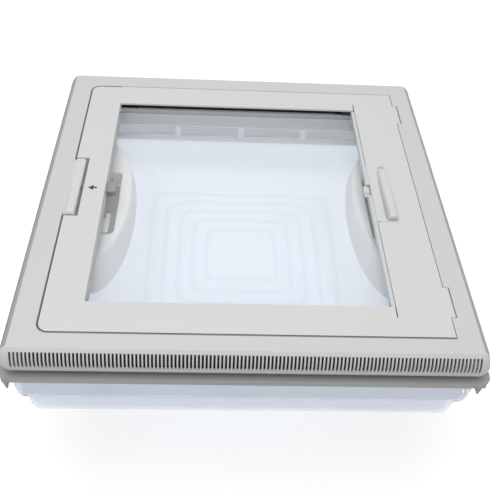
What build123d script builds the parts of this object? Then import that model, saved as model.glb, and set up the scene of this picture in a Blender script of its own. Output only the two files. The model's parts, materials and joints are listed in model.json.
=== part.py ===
"""A 400 x 400 rooflight for a caravan, as it lies on its dome with the cabin face up.

+Z points out of the cabin face, +Y away from the viewer of the hinged frame, +X to its hinges.
Every height is given as a depth below the cabin face, and level() turns it into a Z.
"""

from build123d import *
import os

# Overall, in millimetres
overall_depth = 130.0  # cabin face to the outside of the dome
trim_size = 500.0  # square ceiling trim, outside
trim_depth = 32.5  # cabin face to the lower edge of the trim
cutout_size = 400.0  # square hole in the roof

# Ceiling trim
trim_plate = 3.0
edge_run = 10.0  # how far the rounded edge runs in from the outside
edge_tuck = 5.0  # how far its lower lip tucks back in
corner_radius = 12.0
grille_wall = 2.4
slot_pitch = 3.86
slot_width = 2.2
slot_top = 3.8
slot_bottom = 20.0
duct_inset = 14.0  # each wall of the duct in from the cut-out
duct_wall = 2.5
duct_skirt = 19.0  # duct below the ledge
screen_gap = 2.0  # hinged frame to the ledge
ledge_thick = 3.0
recess_wall = 3.0
plate_lap = 0.4  # how far the rounded edge sinks into the face plate

# Hinged frame with the insect net and the blind
screen_left = -214.7
screen_right = 214.0
screen_width = 435.7  # along Y
screen_middle = -3.0  # the hinged frame sits this far from the trim's middle, along Y
screen_corner = 12.0
screen_thick = 20.0
screen_skin = 2.2
face_gap = 0.9
opening_left = -171.3
opening_right = 157.4
opening_width = 355.3  # along Y
tab_width = 41.0
tab_middle = 170.0
hinge_reach = 4.2  # hinge axis beyond the edge of the hinged frame
hinge_radius = 2.4
hinge_pin_radius = 1.1
hinge_pin_length = 56.0
hinge_boss = 8.0  # height of the bosses that hold the pins
hinge_boss_margin = 1.5  # boss beyond the end of its pin
hinge_notch_depth = 6.8
running_clearance = 0.05
press_clearance = 0.02  # between a fixed pin or screw and its hole
opening_corner = 2.5

# Insect net
net_inset = 4.0  # net above the lower face of the hinged frame
net_thick = 0.6
net_lap = 5.0  # how far the net runs under the rails
spline_size = 2.4
net_shelf = 2.0
net_rim = 1.0  # gap between the net's edge and the rim round it
rim_thick = 2.0
rim_cap = 1.6

# Blind
cassette_right = 184.0
cassette_margin = 14.4  # cassette beyond the opening at each end
cover_thick = 2.0
roller_x = 198.0
roller_depth = 11.5
roller_radius = 5.0
roller_wall = 1.0
wound_radius = 7.2
roller_margin = 3.0  # tube beyond the opening at each end
axle_radius = 2.0
bracket_thick = 3.0
bracket_reach = 9.0  # from the roller's axis towards the opening
cap_thick = 3.0
cap_plug = 12.0
spring_inset = 14.0
spring_gap = 0.4
spring_wall = 1.2
bar_width = 4.0
bar_top = 1.5
bar_bottom = 9.0
bar_overlap = 2.0  # height over which the handle's web meets the bar
groove_top = 2.6
groove_bottom = 10.2
groove_reach = 8.0  # how far the guide grooves go into the rails
shoe_length = 16.0
shoe_clearance = 0.3
shoe_end_gap = 0.4  # to the closed side of the groove
tongue_gap = 1.5  # from the bar's tongue to the closed side of the groove
tongue_inset = 1.0  # tongue thinner than its groove, above and below
bar_gap = 1.0  # bar's body to the rails
cloth_gap = 5.0  # cloth's edge to the closed side of the groove
blind_thick = 0.3
blind_travel = 312.5
nose_run = 0.9  # length of a handle's rounded front end, as a share of its height
nose_bow = (0.22, 0.72)  # middle of that end's curve, as shares of its run and of the height
handle_back = 56.0
handle_front = -46.0
handle_left = 167.0
handle_right = 183.0
handle_height = 7.5
handle_margin = 1.0  # plate beyond the raised grip, along Y
part_gap = 0.5
plate_top = 0.2  # handle's plate below the face
plate_front = 0.2  # plate's extra length at the front
handle_low = 0.4
handle_edge = 2.5
handle_web = 3.0
cover_gap = 0.4
cover_rib = 2.5
cover_rib_height = 1.5
cover_rib_inset = 4.0
catch_length = 18.6
catch_middle = 10.5  # along Y, from the middle of the hinged frame
catch_depth = 7.0
catch_thick = 3.0
catch_width = 7.0
catch_inset = 0.6
catch_gap = 1.0
catch_pin_radius = 2.2
catch_pin_y = 7.1
keeper_half = 9.0
keeper_height = 4.0
keeper_gap = 0.3  # under the catch

# Latch of the hinged frame
latch_left = -222.0
latch_right = -200.8
latch_front = -51.5
latch_back = 50.0
latch_height = 5.5
latch_low = 1.2
latch_lift = 0.3  # cap above the trim's face
latch_nose = 3.2  # how far the latch reaches over the frame's ledge
latch_travel = 5.0
latch_well = 3.6  # open space between the latch and its pocket
latch_flank = 3.0  # width of the sloping flank on the trim's side, less the overhang
flank_top = 2.5
flank_low = 0.6
pocket_front_gap = 1.5
pocket_back_gap = 3.0
pocket_top = 0.5
pocket_lap = 2.0  # how far the pocket's wall runs past it
latch_foot = 9.7
ledge_gap = 0.5
ledge_plate = 2.0
tail_left = -229.0
tail_half = 14.0
tail_top = 5.4
tail_thick = 2.6
guide_gap = 1.0
guide_thick = 2.0
guide_floor = 1.0  # guides beyond the tail's lower face
tail_gap = 0.6
stop_thick = 2.0
spring_tube = 0.6
spring_radius = 1.9

# Roof flange
roof_gap = 4.5  # lower edge of the trim to the flange
flange_plate = 3.0
flange_x = 509.0
flange_y = 503.0
flange_corner = 10.0
collar_gap = 1.0  # ledge to the collar
collar_wall = 2.5
upstand_bottom = 72.0
front_lip = 45.0
front_lip_wall = 2.0
side_waist = 56.0  # depth where the side lip's taper starts
side_lip = 72.0
side_lip_wall = 5.2
lip_slant = 2.5  # how far the side lip's outside leans in
lip_foot = 1.5
lip_waist = 5.0  # side lip's thickness where its taper starts
boss_radius = 3.8
boss_overlap = 0.8  # how far the bosses sink into the collar
boss_length = 15.5
boss_gap = 0.5  # boss below the collar's top
boss_floor = 4.0
screw_radius = 1.6
screw_head = 3.4
screw_head_height = 1.8
screw_spread = 120.0
screw_clearance = 0.3
vent_top = 54.0
vent_bottom = 69.5
vent_post = 8.0
vent_count = 4
vent_end = 10.0
mesh_thick = 0.8
mesh_lap = 2.0  # mesh beyond the windows, all round
seal_lap = 2.0  # seal beyond the upstand, inside and outside
cutout_clearance = 0.5

# Dome
dome_size = 495.0
dome_corner = 18.0
dome_rim_top = 50.0
dome_step_top = 86.0
dome_step_bottom = 91.0
dome_step_in = 9.0
dome_low_corner = 24.0
dome_slant = 7.0  # how far the lower wall leans in
dome_edge = 14.0
skin = 3.0
inner_skin = 2.5
seal_thick = 6.0
floor_gap = 9.0  # pan's floor to the outside of the dome
pan_inset = 10.0  # each side of the pan in from the cut-out
pan_corner = 20.0
pattern_first = 92.0
pattern_pitch = 19.0
pattern_count = 5
pattern_step = 1.2

# Side grips
grip_reach = 42.0
grip_half = 131.0
grip_middle = 25.0  # middle of both grips, along Y
grip_lap = 7.0  # how far the grip reaches up into the duct
grip_top_half = 104.0
grip_top_reach = 38.0
grip_wall = 3.0
grip_gap = 2.0  # to the duct
shelf_margin = 4.0
pocket_front = -42.0
pocket_back = 69.0
pocket_width = 20.0
pocket_depth = 22.0
pocket_wall = 2.2
grip_screw_y = 112.0  # either side of the grip's middle
grip_screw_in = 12.0  # from the flat side of the grip
grip_screw_bite = 8.0
grip_post_extra = 6.0  # post above its screw
hook_notch = 2.0

# Levers in the side grips
lever_axis_in = 9.0  # from the flat side of the grip
lever_drop = 11.8  # lever's axis below the top of its hook
lever_pin_radius = 1.5
lever_knuckle = 3.0
lever_front = -37.0
lever_back = 53.0
lever_spring_length = 12.0
hook_half = 10.0
hook_drop = 1.2  # hook below the top of the grip
hook_thick = 2.2
hook_reach = 1.8  # past the inner face of the duct
window_margin = 2.5
window_gap = 1.0  # to the notch in the grip
window_rise = 4.0  # room above the hook for it to swing up
hook_gap = 0.3  # under the hook
paddle_gap = 0.8
paddle_thick = 2.4
web_half = 1.2
spring_end_gap = 0.4
spring_slim = 0.2

# Lifting arms
arm_middle = 216.5
arm_thick = 3.0
arm_height = 10.0
arm_pivot_y = 222.0
arm_depth = 60.0
arm_pin_radius = 2.5
arm_pin_head = 4.0
arm_pin_head_thick = 1.2
arm_gap = 0.4
bracket_width = 18.0
bracket_plate = 2.5
bracket_radius = 6.0
bracket_foot = 9.0


# Sizes that follow from the ones above
half_trim = trim_size / 2
ledge_top = screen_thick + screen_gap
duct_bottom = ledge_top + ledge_thick + duct_skirt
flange_face = trim_depth + roof_gap
collar_top = ledge_top + ledge_thick + collar_gap
boss_bottom = collar_top + boss_gap + boss_length
inner_rim = upstand_bottom + seal_thick
inner_floor = overall_depth - floor_gap
pan_half = cutout_size / 2 - pan_inset
grip_top = duct_bottom - grip_lap
hook_depth = grip_top + hook_drop
lever_axis_depth = hook_depth + lever_drop
net_depth = screen_thick - net_inset
half_duct = cutout_size / 2 - duct_inset
half_opening = opening_width / 2
half_cutout = cutout_size / 2 - cutout_clearance
half_dome = dome_size / 2
hinge_x = screen_right + hinge_reach
bar_left = opening_right - bar_width
grip_flat = half_duct - grip_gap
lever_x = grip_flat - lever_axis_in
cassette_half = half_opening + cassette_margin
roller_half = half_opening + roller_margin
collar_inner = half_cutout - collar_wall
screw_line = collar_inner - boss_radius + boss_overlap
net_left = opening_left - net_lap
net_right = opening_right + net_lap
net_half = half_opening + net_lap
ledge_left = latch_right - latch_nose
pocket_right = latch_right + latch_well
stop_x = stop_thick + edge_run - half_trim


def level(depth):
    """Z of a depth below the cabin face."""
    return overall_depth - depth


def block(x, y, top, bottom):
    """A box between two X, two Y and two depths."""
    size = (x[1] - x[0], y[1] - y[0], bottom - top)
    middle = ((x[0] + x[1]) / 2, (y[0] + y[1]) / 2, level((top + bottom) / 2))
    return Pos(*middle) * Box(*size)


def slab(outline, top, bottom):
    """A plan outline made solid between two depths."""
    return Pos(0, 0, level(bottom)) * extrude(outline, bottom - top)


def rod_y(x, depth, radius, y0, y1):
    """A round rod along Y."""
    rod = Rot(90, 0, 0) * Cylinder(radius, y1 - y0)
    return Pos(x, (y0 + y1) / 2, level(depth)) * rod


def rod_x(y, depth, radius, x0, x1):
    """A round rod along X."""
    rod = Rot(0, 90, 0) * Cylinder(radius, x1 - x0)
    return Pos((x0 + x1) / 2, y, level(depth)) * rod


def rod_z(x, y, radius, top, bottom):
    """A round rod along Z."""
    return Pos(x, y, level((top + bottom) / 2)) * Cylinder(radius, bottom - top)


def ring(outer, inner, top, bottom):
    """A square ring between two half sizes."""
    return slab(Rectangle(2 * outer, 2 * outer) - Rectangle(2 * inner, 2 * inner), top, bottom)


def side_pair(x0, x1):
    """The X limits of a piece on the right, and of its mirror image on the left."""
    return ((x0, x1), (-x1, -x0))


def mirrored(solid):
    """The same piece on the left side."""
    return mirror(solid, Plane.YZ)


def screen_outline(grow=0.0):
    """Plan of the hinged frame about its own middle: rounded at the latch side."""
    left, right = screen_left - grow, screen_right + grow
    outline = Pos((left + right) / 2, 0) * Rectangle(right - left, screen_width + 2 * grow)
    return fillet(outline.vertices().sort_by(Axis.X)[:2], screen_corner + grow)


def bulge_depth():
    """Depth at which the rounded edge is widest: one arc meets the face and the lower lip there."""
    lead = 2 * edge_run * trim_depth
    fall = edge_run * edge_tuck * (edge_run - edge_tuck) - edge_run * trim_depth**2
    return -2 * fall / (lead + (lead**2 - 4 * (edge_tuck - edge_run) * fall) ** 0.5)


def edge_profile():
    """Section of the trim's rounded edge, standing on +X."""
    low, inner_top = level(trim_depth), level(trim_plate + plate_lap)
    bulge = level(bulge_depth())
    start, end = (half_trim - edge_run, level(0)), (half_trim - edge_tuck, low)
    back, front = (end[0] - grille_wall, low), (start[0], inner_top)
    outer = ThreePointArc(start, (half_trim, bulge), end)
    inner = ThreePointArc(back, (half_trim - grille_wall, bulge), front)
    return make_face([outer, Line(end, back), inner, Line(front, start)])


def grille():
    """One slotted edge of the trim, on the +X side."""
    length = trim_size - 2 * corner_radius
    bar = extrude(Plane.XZ * edge_profile(), length / 2, both=True)
    count = int(length / slot_pitch)
    first = -(count - 1) / 2 * slot_pitch
    x = (half_trim - edge_run - 1, half_trim + 1)
    half_slot = slot_width / 2
    slots = []
    for i in range(count):
        middle = first + i * slot_pitch
        slots.append(block(x, (middle - half_slot, middle + half_slot), slot_top, slot_bottom))
    return bar - slots


def trim_corner():
    """One rounded corner of the trim, at +X +Y."""
    centre = half_trim - corner_radius
    profile = Pos(0, centre, 0) * (Plane.XZ * edge_profile())
    return revolve(profile, Axis((centre, centre, 0), (0, 0, 1)), 90)


def screen_place(outline):
    """An outline or solid of the hinged frame, moved to where the frame sits in the trim."""
    return Pos(0, screen_middle, 0) * outline


def hinge_spans(margin=0.0, shift=screen_middle):
    """Y limits of the two hinge tabs in the trim, with a margin at each end."""
    reach = tab_width / 2 + margin
    return [(middle + shift - reach, middle + shift + reach) for middle in (tab_middle, -tab_middle)]


def duct_windows():
    """Windows in the duct that the levers' hooks reach into."""
    top, bottom = hook_depth - window_rise, hook_depth + hook_thick + hook_gap
    y = (-hook_half - window_margin, hook_half + window_margin)
    return [block(x, y, top, bottom) for x in side_pair(half_duct - 1, half_duct + duct_wall + 1)]


def ceiling_trim():
    """Face plate, recess for the hinged frame, ledge and duct, with the four corners."""
    inner = half_trim - edge_run
    plan = RectangleRounded(2 * inner, 2 * inner, corner_radius - edge_run)
    hole = screen_place(screen_outline(face_gap))
    trim = slab(plan - hole, 0, trim_plate)
    corner = trim_corner()
    for i in range(4):
        trim += Rot(0, 0, 90 * i) * corner
    wall = screen_place(screen_outline(face_gap + recess_wall))
    trim += slab(wall - hole, 0, ledge_top)
    duct_hole = Rectangle(2 * half_duct, 2 * half_duct)
    trim += slab(wall - duct_hole, ledge_top, ledge_top + ledge_thick)
    trim += ring(half_duct + duct_wall, half_duct, ledge_top + ledge_thick, duct_bottom)
    boss_x = (screen_right + face_gap, hinge_x + hinge_radius + recess_wall)
    pin_end = (hinge_pin_length - tab_width) / 2
    for span in hinge_spans(pin_end + hinge_boss_margin):
        trim += block(boss_x, span, 0, hinge_boss)
    notch_x = (screen_right, hinge_x + hinge_radius + face_gap / 2)
    for span in hinge_spans(part_gap):
        trim -= block(notch_x, span, -1, hinge_notch_depth)
    for span in hinge_spans(pin_end):
        trim -= rod_y(hinge_x, hinge_radius, hinge_pin_radius + press_clearance, *span)
    notch_x = (screen_left - latch_travel - face_gap, screen_left + face_gap)
    trim -= block(notch_x, (latch_front - guide_gap, latch_back + guide_gap), -1, latch_foot + guide_gap)
    tail_low = tail_top + tail_thick
    guide_low = tail_low + guide_floor
    guide = (tail_half + guide_gap, tail_half + guide_gap + guide_thick)
    for y in (guide, (-guide[1], -guide[0])):
        trim += block((stop_x, notch_x[0]), y, trim_plate, guide_low)
    trim += block((stop_x - stop_thick, stop_x), (-guide[1], guide[1]), trim_plate, guide_low)
    trim -= block(notch_x, (-tail_half - tail_gap, tail_half + tail_gap), 0, tail_low + tail_gap)
    for x, y in screw_places():
        trim -= rod_z(x, y, screw_radius + screw_clearance, ledge_top - 1, ledge_top + ledge_thick + 1)
    return trim - duct_windows()


def screw_places():
    """Places of the eight screws that clamp the trim to the flange."""
    places = []
    for along in (-screw_spread, screw_spread):
        for across in (-screw_line, screw_line):
            places += [(along, across), (across, along)]
    return places


def trim_screws():
    """Eight screws through the ledge into the flange's bosses."""
    screws = []
    for x, y in screw_places():
        shank = rod_z(x, y, screw_radius, ledge_top, boss_bottom - boss_floor)
        screws.append(shank + rod_z(x, y, screw_head, ledge_top - screw_head_height, ledge_top))
    return screws


def hinge_pins():
    """Two pins that carry the hinged frame."""
    pin_end = (hinge_pin_length - tab_width) / 2
    return [rod_y(hinge_x, hinge_radius, hinge_pin_radius, *span) for span in hinge_spans(pin_end)]


def vent_spans():
    """X limits of the vent windows along one wall."""
    inner = collar_inner - vent_end
    pitch = 2 * inner / vent_count
    half = (pitch - vent_post) / 2
    middles = [-inner + (i + 0.5) * pitch for i in range(vent_count)]
    return [(middle - half, middle + half) for middle in middles]


def around(solids):
    """The given pieces of the +Y side, repeated on all four sides."""
    return [Rot(0, 0, 90 * i) * solid for i in range(4) for solid in solids]


def roof_flange():
    """Flange that lies on the roof, its collar through the cut-out and its lips."""
    plan = RectangleRounded(flange_x, flange_y, flange_corner)
    hole = Rectangle(2 * collar_inner, 2 * collar_inner)
    flange = slab(plan - hole, flange_face, flange_face + flange_plate)
    flange += ring(half_cutout, collar_inner, collar_top, upstand_bottom)
    plate_low = flange_face + flange_plate
    lip_y = (flange_y / 2 - front_lip_wall, flange_y / 2)
    lip_x = flange_x / 2 - side_lip_wall
    for y in (lip_y, (-lip_y[1], -lip_y[0])):
        flange += block((-lip_x, lip_x), y, plate_low, front_lip)
    flange += side_lips()
    for x, y in screw_places():
        flange += rod_z(x, y, boss_radius, collar_top + boss_gap, boss_bottom)
        flange -= rod_z(x, y, screw_radius + press_clearance, collar_top - 1, boss_bottom - boss_floor)
    windows = []
    for span in vent_spans():
        windows.append(block(span, (collar_inner - 1, half_cutout + 1), vent_top, vent_bottom))
    return flange - around(windows)


def side_lips():
    """Deep tapered lips along the left and right edges of the flange."""
    outer = flange_x / 2
    inner = outer - side_lip_wall
    top, low = level(flange_face + flange_plate), level(side_lip)
    waist = level(side_waist)
    points = [(inner, top), (outer, top), (outer, waist), (outer - lip_slant, low)]
    points += [(outer - lip_slant - lip_foot, low), (outer - lip_waist, waist)]
    section = Plane.XZ * make_face(Polyline(*points, close=True))
    lip = extrude(section, flange_y / 2 - flange_corner, both=True)
    return [lip, mirrored(lip)]


def vent_mesh():
    """Four strips of fine mesh, one outside each wall of the upstand."""
    reach = collar_inner - vent_end + mesh_lap
    y = (half_cutout, half_cutout + mesh_thick)
    return around([block((-reach, reach), y, vent_top - mesh_lap, vent_bottom + mesh_lap)])


def dome_seal():
    """Seal between the upstand and the rim of the dome."""
    return ring(half_cutout + seal_lap, collar_inner - seal_lap, upstand_bottom, inner_rim)


def shell_of(size, top_depth, grow=0.0):
    """Outer form of the dome, or the same form set in all round by -grow."""
    full, step = size + 2 * grow, size - 2 * dome_step_in + 2 * grow
    low = step - 2 * dome_slant
    corner, low_corner = dome_corner + grow, dome_low_corner + grow
    bottom = overall_depth + grow
    upper = slab(RectangleRounded(full, full, corner), top_depth, dome_step_top + grow)
    step_plan = RectangleRounded(step, step, low_corner)
    neck = slab(step_plan, dome_step_top + grow, dome_step_bottom)
    foot_plan = RectangleRounded(low, low, low_corner)
    sections = [Pos(0, 0, level(dome_step_bottom)) * step_plan, Pos(0, 0, level(bottom)) * foot_plan]
    form = upper + neck + loft(Sketch() + sections)
    return fillet(form.faces().sort_by(Axis.Z)[0].edges(), dome_edge + grow)


def dome_outer():
    """Outer skin of the dome."""
    return shell_of(dome_size, dome_rim_top) - shell_of(dome_size, dome_rim_top - 1, -skin)


def grip_plan(reach, half, x_flat):
    """Half an ellipse whose flat side lies on x_flat and whose nose points inwards (-X)."""
    oval = Pos(x_flat, grip_middle) * Ellipse(reach, half)
    keep = Pos(x_flat - reach, grip_middle) * Rectangle(2 * reach, 2 * half + 2)
    return oval & keep


def pan_plan(grow=0.0):
    """Plan of the dome's pan: a square, less a shelf under each side grip."""
    half = pan_half + grow
    plan = RectangleRounded(2 * half, 2 * half, pan_corner + grow)
    reach = grip_reach + shelf_margin + half - grow - grip_flat - grow
    shelf = grip_plan(reach, grip_half + shelf_margin - grow, half)
    return plan - shelf - mirror(shelf, Plane.YZ)


def dome_inner():
    """Inner skin: a rim, a pan and a stepped square pattern in its floor."""
    rim_half = half_dome - skin
    rim = RectangleRounded(2 * rim_half, 2 * rim_half, dome_corner - skin)
    rim_low = inner_rim + inner_skin
    body = slab(rim, inner_rim, rim_low)
    body += slab(pan_plan(inner_skin), rim_low, inner_floor + inner_skin)
    body -= slab(pan_plan(), inner_rim - 1, inner_floor)
    for i in range(pattern_count):
        half = pattern_first / 2 + pattern_pitch * (pattern_count - 1 - i)
        up = pattern_step * (i + 1)
        limits = (-half, half)
        body += block(limits, limits, inner_floor - up, inner_floor)
        hollow = (-half + inner_skin, half - inner_skin)
        low = inner_floor + inner_skin
        body -= block(hollow, hollow, low - up, low + 1)
    for x, y in grip_screw_places():
        body -= rod_z(x, y, screw_radius + screw_clearance, inner_rim - 1, rim_low + 1)
    return body


def grip_body(shrink=0.0):
    """Solid form of the right side grip, or its hollow."""
    low = Pos(0, 0, level(inner_rim + (1 if shrink else 0)))
    high = Pos(0, 0, level(grip_top + shrink))
    flat = grip_flat - shrink
    base = grip_plan(grip_reach - 2 * shrink, grip_half - shrink, flat)
    top = grip_plan(grip_top_reach - 2 * shrink, grip_top_half - shrink, flat)
    return loft(Sketch() + [low * base, high * top])


def side_grip():
    """Hollow half-oval moulding with a finger pocket, on the right of the dome."""
    grip = grip_body() - grip_body(grip_wall)
    x = (grip_flat - grip_wall - pocket_width, grip_flat - grip_wall)
    y = (pocket_front, pocket_back)
    low = grip_top + pocket_depth
    outer_x = (x[0] - pocket_wall, x[1])
    outer_y = (y[0] - pocket_wall, y[1] + pocket_wall)
    grip += block(outer_x, outer_y, grip_top + 1, low + pocket_wall)
    grip -= block(x, y, grip_top - 1, low)
    hole = lever_pin_radius + press_clearance
    grip -= rod_y(lever_x, lever_axis_depth, hole, outer_y[0] - 1, outer_y[1] + 1)
    notch_y = (-hook_half - window_gap, hook_half + window_gap)
    notch_low = hook_depth + hook_thick + hook_notch
    return grip - block((x[1] - part_gap, grip_flat + 1), notch_y, grip_top - 1, notch_low)


def lever():
    """Lever of the right grip: knuckle, finger paddle and hook."""
    piece = rod_y(lever_x, lever_axis_depth, lever_knuckle, lever_front, lever_back)
    paddle_x = (grip_flat - grip_wall - pocket_width + paddle_gap, lever_x)
    top = lever_axis_depth - lever_knuckle
    piece += block(paddle_x, (lever_front, lever_back), top, top + paddle_thick)
    hook_y = (-hook_half, hook_half)
    web_x = (lever_x - web_half, lever_x + web_half)
    piece += block(web_x, hook_y, hook_depth, lever_axis_depth)
    reach = half_duct + hook_reach
    piece += block((web_x[0], reach), hook_y, hook_depth, hook_depth + hook_thick)
    hole = lever_pin_radius + running_clearance
    return piece - rod_y(lever_x, lever_axis_depth, hole, lever_front - 1, lever_back + 1)


def lever_pin():
    """Pin of the right lever, from end wall to end wall of the pocket."""
    y = (pocket_front - pocket_wall, pocket_back + pocket_wall)
    return rod_y(lever_x, lever_axis_depth, lever_pin_radius, *y)


def lever_spring():
    """Return spring of the right lever, wound round its pin."""
    front = lever_back + spring_end_gap
    y = (front, front + lever_spring_length)
    coil = rod_y(lever_x, lever_axis_depth, lever_knuckle - spring_slim, *y)
    return coil - rod_y(lever_x, lever_axis_depth, lever_pin_radius + spring_slim, *y)


def grip_screw_places():
    """Places of the screws at the ends of both side grips."""
    x = grip_flat - grip_screw_in
    y = (grip_middle - grip_screw_y, grip_middle + grip_screw_y)
    return [(sx, sy) for sx in (x, -x) for sy in y]


def grip_screws():
    """One screw at each end of both side grips, up through the shelf."""
    low = inner_rim + inner_skin
    screws = []
    for x, y in grip_screw_places():
        shank = rod_z(x, y, screw_radius, inner_rim - grip_screw_bite, low)
        screws.append(shank + rod_z(x, y, screw_head, low, low + screw_head_height))
    return screws


def grip_screw_posts():
    """Posts in the right grip that its two screws bite into."""
    posts = []
    for x, y in grip_screw_places()[:2]:
        post = rod_z(x, y, boss_radius, inner_rim - grip_screw_bite - grip_post_extra, inner_rim)
        hole = rod_z(x, y, screw_radius + press_clearance, inner_rim - grip_screw_bite, inner_rim + 1)
        posts.append(post - hole)
    return posts


def lift_arm():
    """Right lifting arm, pivoted to the flange at the back and to the dome at the front."""
    x = (arm_middle - arm_thick / 2, arm_middle + arm_thick / 2)
    half = arm_height / 2
    y = (-arm_pivot_y, arm_pivot_y)
    arm = block(x, y, arm_depth - half, arm_depth + half)
    for pivot in y:
        arm += rod_x(pivot, arm_depth, half, *x)
        arm -= rod_x(pivot, arm_depth, arm_pin_radius + running_clearance, x[0] - 1, x[1] + 1)
    return arm


def arm_bracket(pivot, seat):
    """Bracket of the right arm's pivot, from the pivot to the face that it is fixed on."""
    x0 = arm_middle + arm_thick / 2 + arm_gap
    x = (x0, x0 + bracket_plate)
    half = bracket_width / 2
    bracket = block(x, (pivot - half, pivot + half), min(seat, arm_depth), max(seat, arm_depth))
    foot_low = seat + bracket_plate if seat < arm_depth else seat
    foot_x = (x0, x0 + bracket_foot)
    bracket += block(foot_x, (pivot - half, pivot + half), foot_low - bracket_plate, foot_low)
    bracket += rod_x(pivot, arm_depth, bracket_radius, *x)
    return bracket - rod_x(pivot, arm_depth, arm_pin_radius + press_clearance, x[0] - 1, x[1] + 1)


def arm_pin(pivot):
    """Headed pin of the right arm's pivot."""
    x0 = arm_middle - arm_thick / 2 - arm_gap
    x1 = arm_middle + arm_thick / 2 + arm_gap + bracket_plate
    head = rod_x(pivot, arm_depth, arm_pin_head, x0 - arm_pin_head_thick, x0)
    return head + rod_x(pivot, arm_depth, arm_pin_radius, x0, x1)


def screen_frame():
    """Hinged frame: a hollow rim round the opening, with shelf, grooves and cassette."""
    low = screen_thick
    opening = Pos((opening_left + opening_right) / 2, 0)
    opening = opening * Rectangle(opening_right - opening_left, opening_width)
    opening = fillet(opening.vertices(), opening_corner)
    frame = slab(screen_outline() - opening, 0, low)
    inner_wall = (opening_left - screen_skin, half_opening + screen_skin)
    hollow = screen_outline(-screen_skin)
    rim = Pos((inner_wall[0] + cassette_right) / 2, 0)
    rim = rim * Rectangle(cassette_right - inner_wall[0], 2 * inner_wall[1])
    rails = hollow - rim
    cross_wall = (cassette_half - screen_skin, cassette_half)
    frame -= slab(rails, screen_skin, low + 1)
    groove_y = half_opening + groove_reach
    for sign in (1, -1):
        wall = sorted((sign * (half_opening + screen_skin), sign * (groove_y + screen_skin)))
        frame += block((inner_wall[0], cassette_right), wall, screen_skin, groove_bottom + screen_skin)
    return cut_frame(frame, cross_wall, groove_y)


def cut_frame(frame, cross_wall, groove_y):
    """The hinged frame's cassette, grooves, shelf, latch pocket and hinge knuckles."""
    low = screen_thick
    cassette_x = (opening_right - 1, screen_right - screen_skin)
    inside = (-cross_wall[0], cross_wall[0])
    frame -= block(cassette_x, inside, screen_skin, low + 1)
    cover_x = (opening_right - 1, cassette_right)
    frame -= block(cover_x, (-cassette_half, cassette_half), -1, cover_thick)
    frame -= block(cover_x, inside, -1, screen_skin + 1)
    for sign in (1, -1):
        y = sorted((sign * (half_opening - 1), sign * groove_y))
        frame -= block((opening_left, cassette_right), y, groove_top, groove_bottom)
    shelf_top = net_depth + net_thick
    shelf_low = shelf_top + net_shelf
    outer = Pos((net_left + net_right) / 2, 0)
    outer = outer * Rectangle(net_right - net_left + 2 * net_rim, 2 * (net_half + net_rim))
    inner = Pos((opening_left + opening_right) / 2, 0)
    inner = inner * Rectangle(opening_right - opening_left, opening_width)
    frame -= slab(outer, net_depth - spline_size, shelf_top)
    frame += slab(outer - inner, shelf_top, shelf_low)
    lip = Pos((net_left + net_right) / 2, 0)
    margin = net_rim + rim_thick
    lip = lip * Rectangle(net_right - net_left + 2 * margin, 2 * (net_half + margin))
    frame += slab(lip - outer, net_depth - spline_size - 1, shelf_low)
    top_lip = lip - inner
    frame += slab(top_lip, net_depth - spline_size - rim_cap, net_depth - spline_size)
    pocket_y = (latch_front - pocket_front_gap - screen_middle, latch_back + pocket_back_gap - screen_middle)
    frame -= block((screen_left - 1, pocket_right), pocket_y, -1, low + 1)
    wall_x = (pocket_right, pocket_right + screen_skin)
    frame += block(wall_x, (pocket_y[0] - pocket_lap, pocket_y[1] + pocket_lap), pocket_top, low)
    for y in (pocket_y[0], pocket_y[1] + screen_skin):
        frame += block((screen_left, wall_x[1]), (y - screen_skin, y), pocket_top, low)
    top = latch_foot + ledge_gap
    frame += block((ledge_left, wall_x[0] + part_gap), pocket_y, top, top + ledge_plate)
    for span in hinge_spans(shift=0.0):
        frame += block((screen_right - 1, hinge_x), span, 0, 2 * hinge_radius)
        frame += rod_y(hinge_x, hinge_radius, hinge_radius, *span)
        hole = hinge_pin_radius + running_clearance
        frame -= rod_y(hinge_x, hinge_radius, hole, span[0] - 1, span[1] + 1)
    return frame


def insect_net():
    """The net, as one thin sheet under the opening."""
    return block((net_left, net_right), (-net_half, net_half), net_depth, net_depth + net_thick)


def net_spline():
    """Cord that holds the net's edge down on its shelf."""
    x0, x1 = net_left + 0.5, net_right - 0.5
    outer = Pos((x0 + x1) / 2, 0) * Rectangle(x1 - x0, 2 * net_half - 1)
    width = 2 * spline_size
    inner = Pos((x0 + x1) / 2, 0) * Rectangle(x1 - x0 - width, 2 * net_half - 1 - width)
    return slab(outer - inner, net_depth - spline_size, net_depth)


def plate_span():
    """Y limits of the handle's plate."""
    return (handle_front - handle_margin - plate_front, handle_back + handle_margin)


def cassette_covers():
    """Front and back covers of the blind's cassette."""
    front, back = plate_span()
    x = (opening_right + cover_gap, cassette_right)
    covers = []
    for y in ((-cassette_half, front - part_gap), (back + part_gap, cassette_half)):
        cover = block(x, y, 0, cover_thick)
        rib_x = (cassette_right - cover_rib, cassette_right)
        reach = cassette_half - cover_rib_inset
        rib_y = (max(y[0], -reach), min(y[1], reach))
        covers.append(cover + block(rib_x, rib_y, cover_thick, cover_thick + cover_rib_height))
    return covers


def roller_bracket(sign):
    """Bracket that carries one end of the roller."""
    inner = roller_half + cap_thick + part_gap
    y = sorted((sign * inner, sign * (inner + bracket_thick)))
    x = (roller_x - bracket_reach, screen_right - screen_skin)
    bracket = block(x, y, screen_skin, screen_thick - 1)
    return bracket - rod_y(roller_x, roller_depth, axle_radius + running_clearance, y[0] - 1, y[1] + 1)


def roller_tube():
    """Tube that the blind winds on."""
    half = roller_half
    tube = rod_y(roller_x, roller_depth, roller_radius, -half, half)
    return tube - rod_y(roller_x, roller_depth, roller_radius - roller_wall, -half - 1, half + 1)


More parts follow.
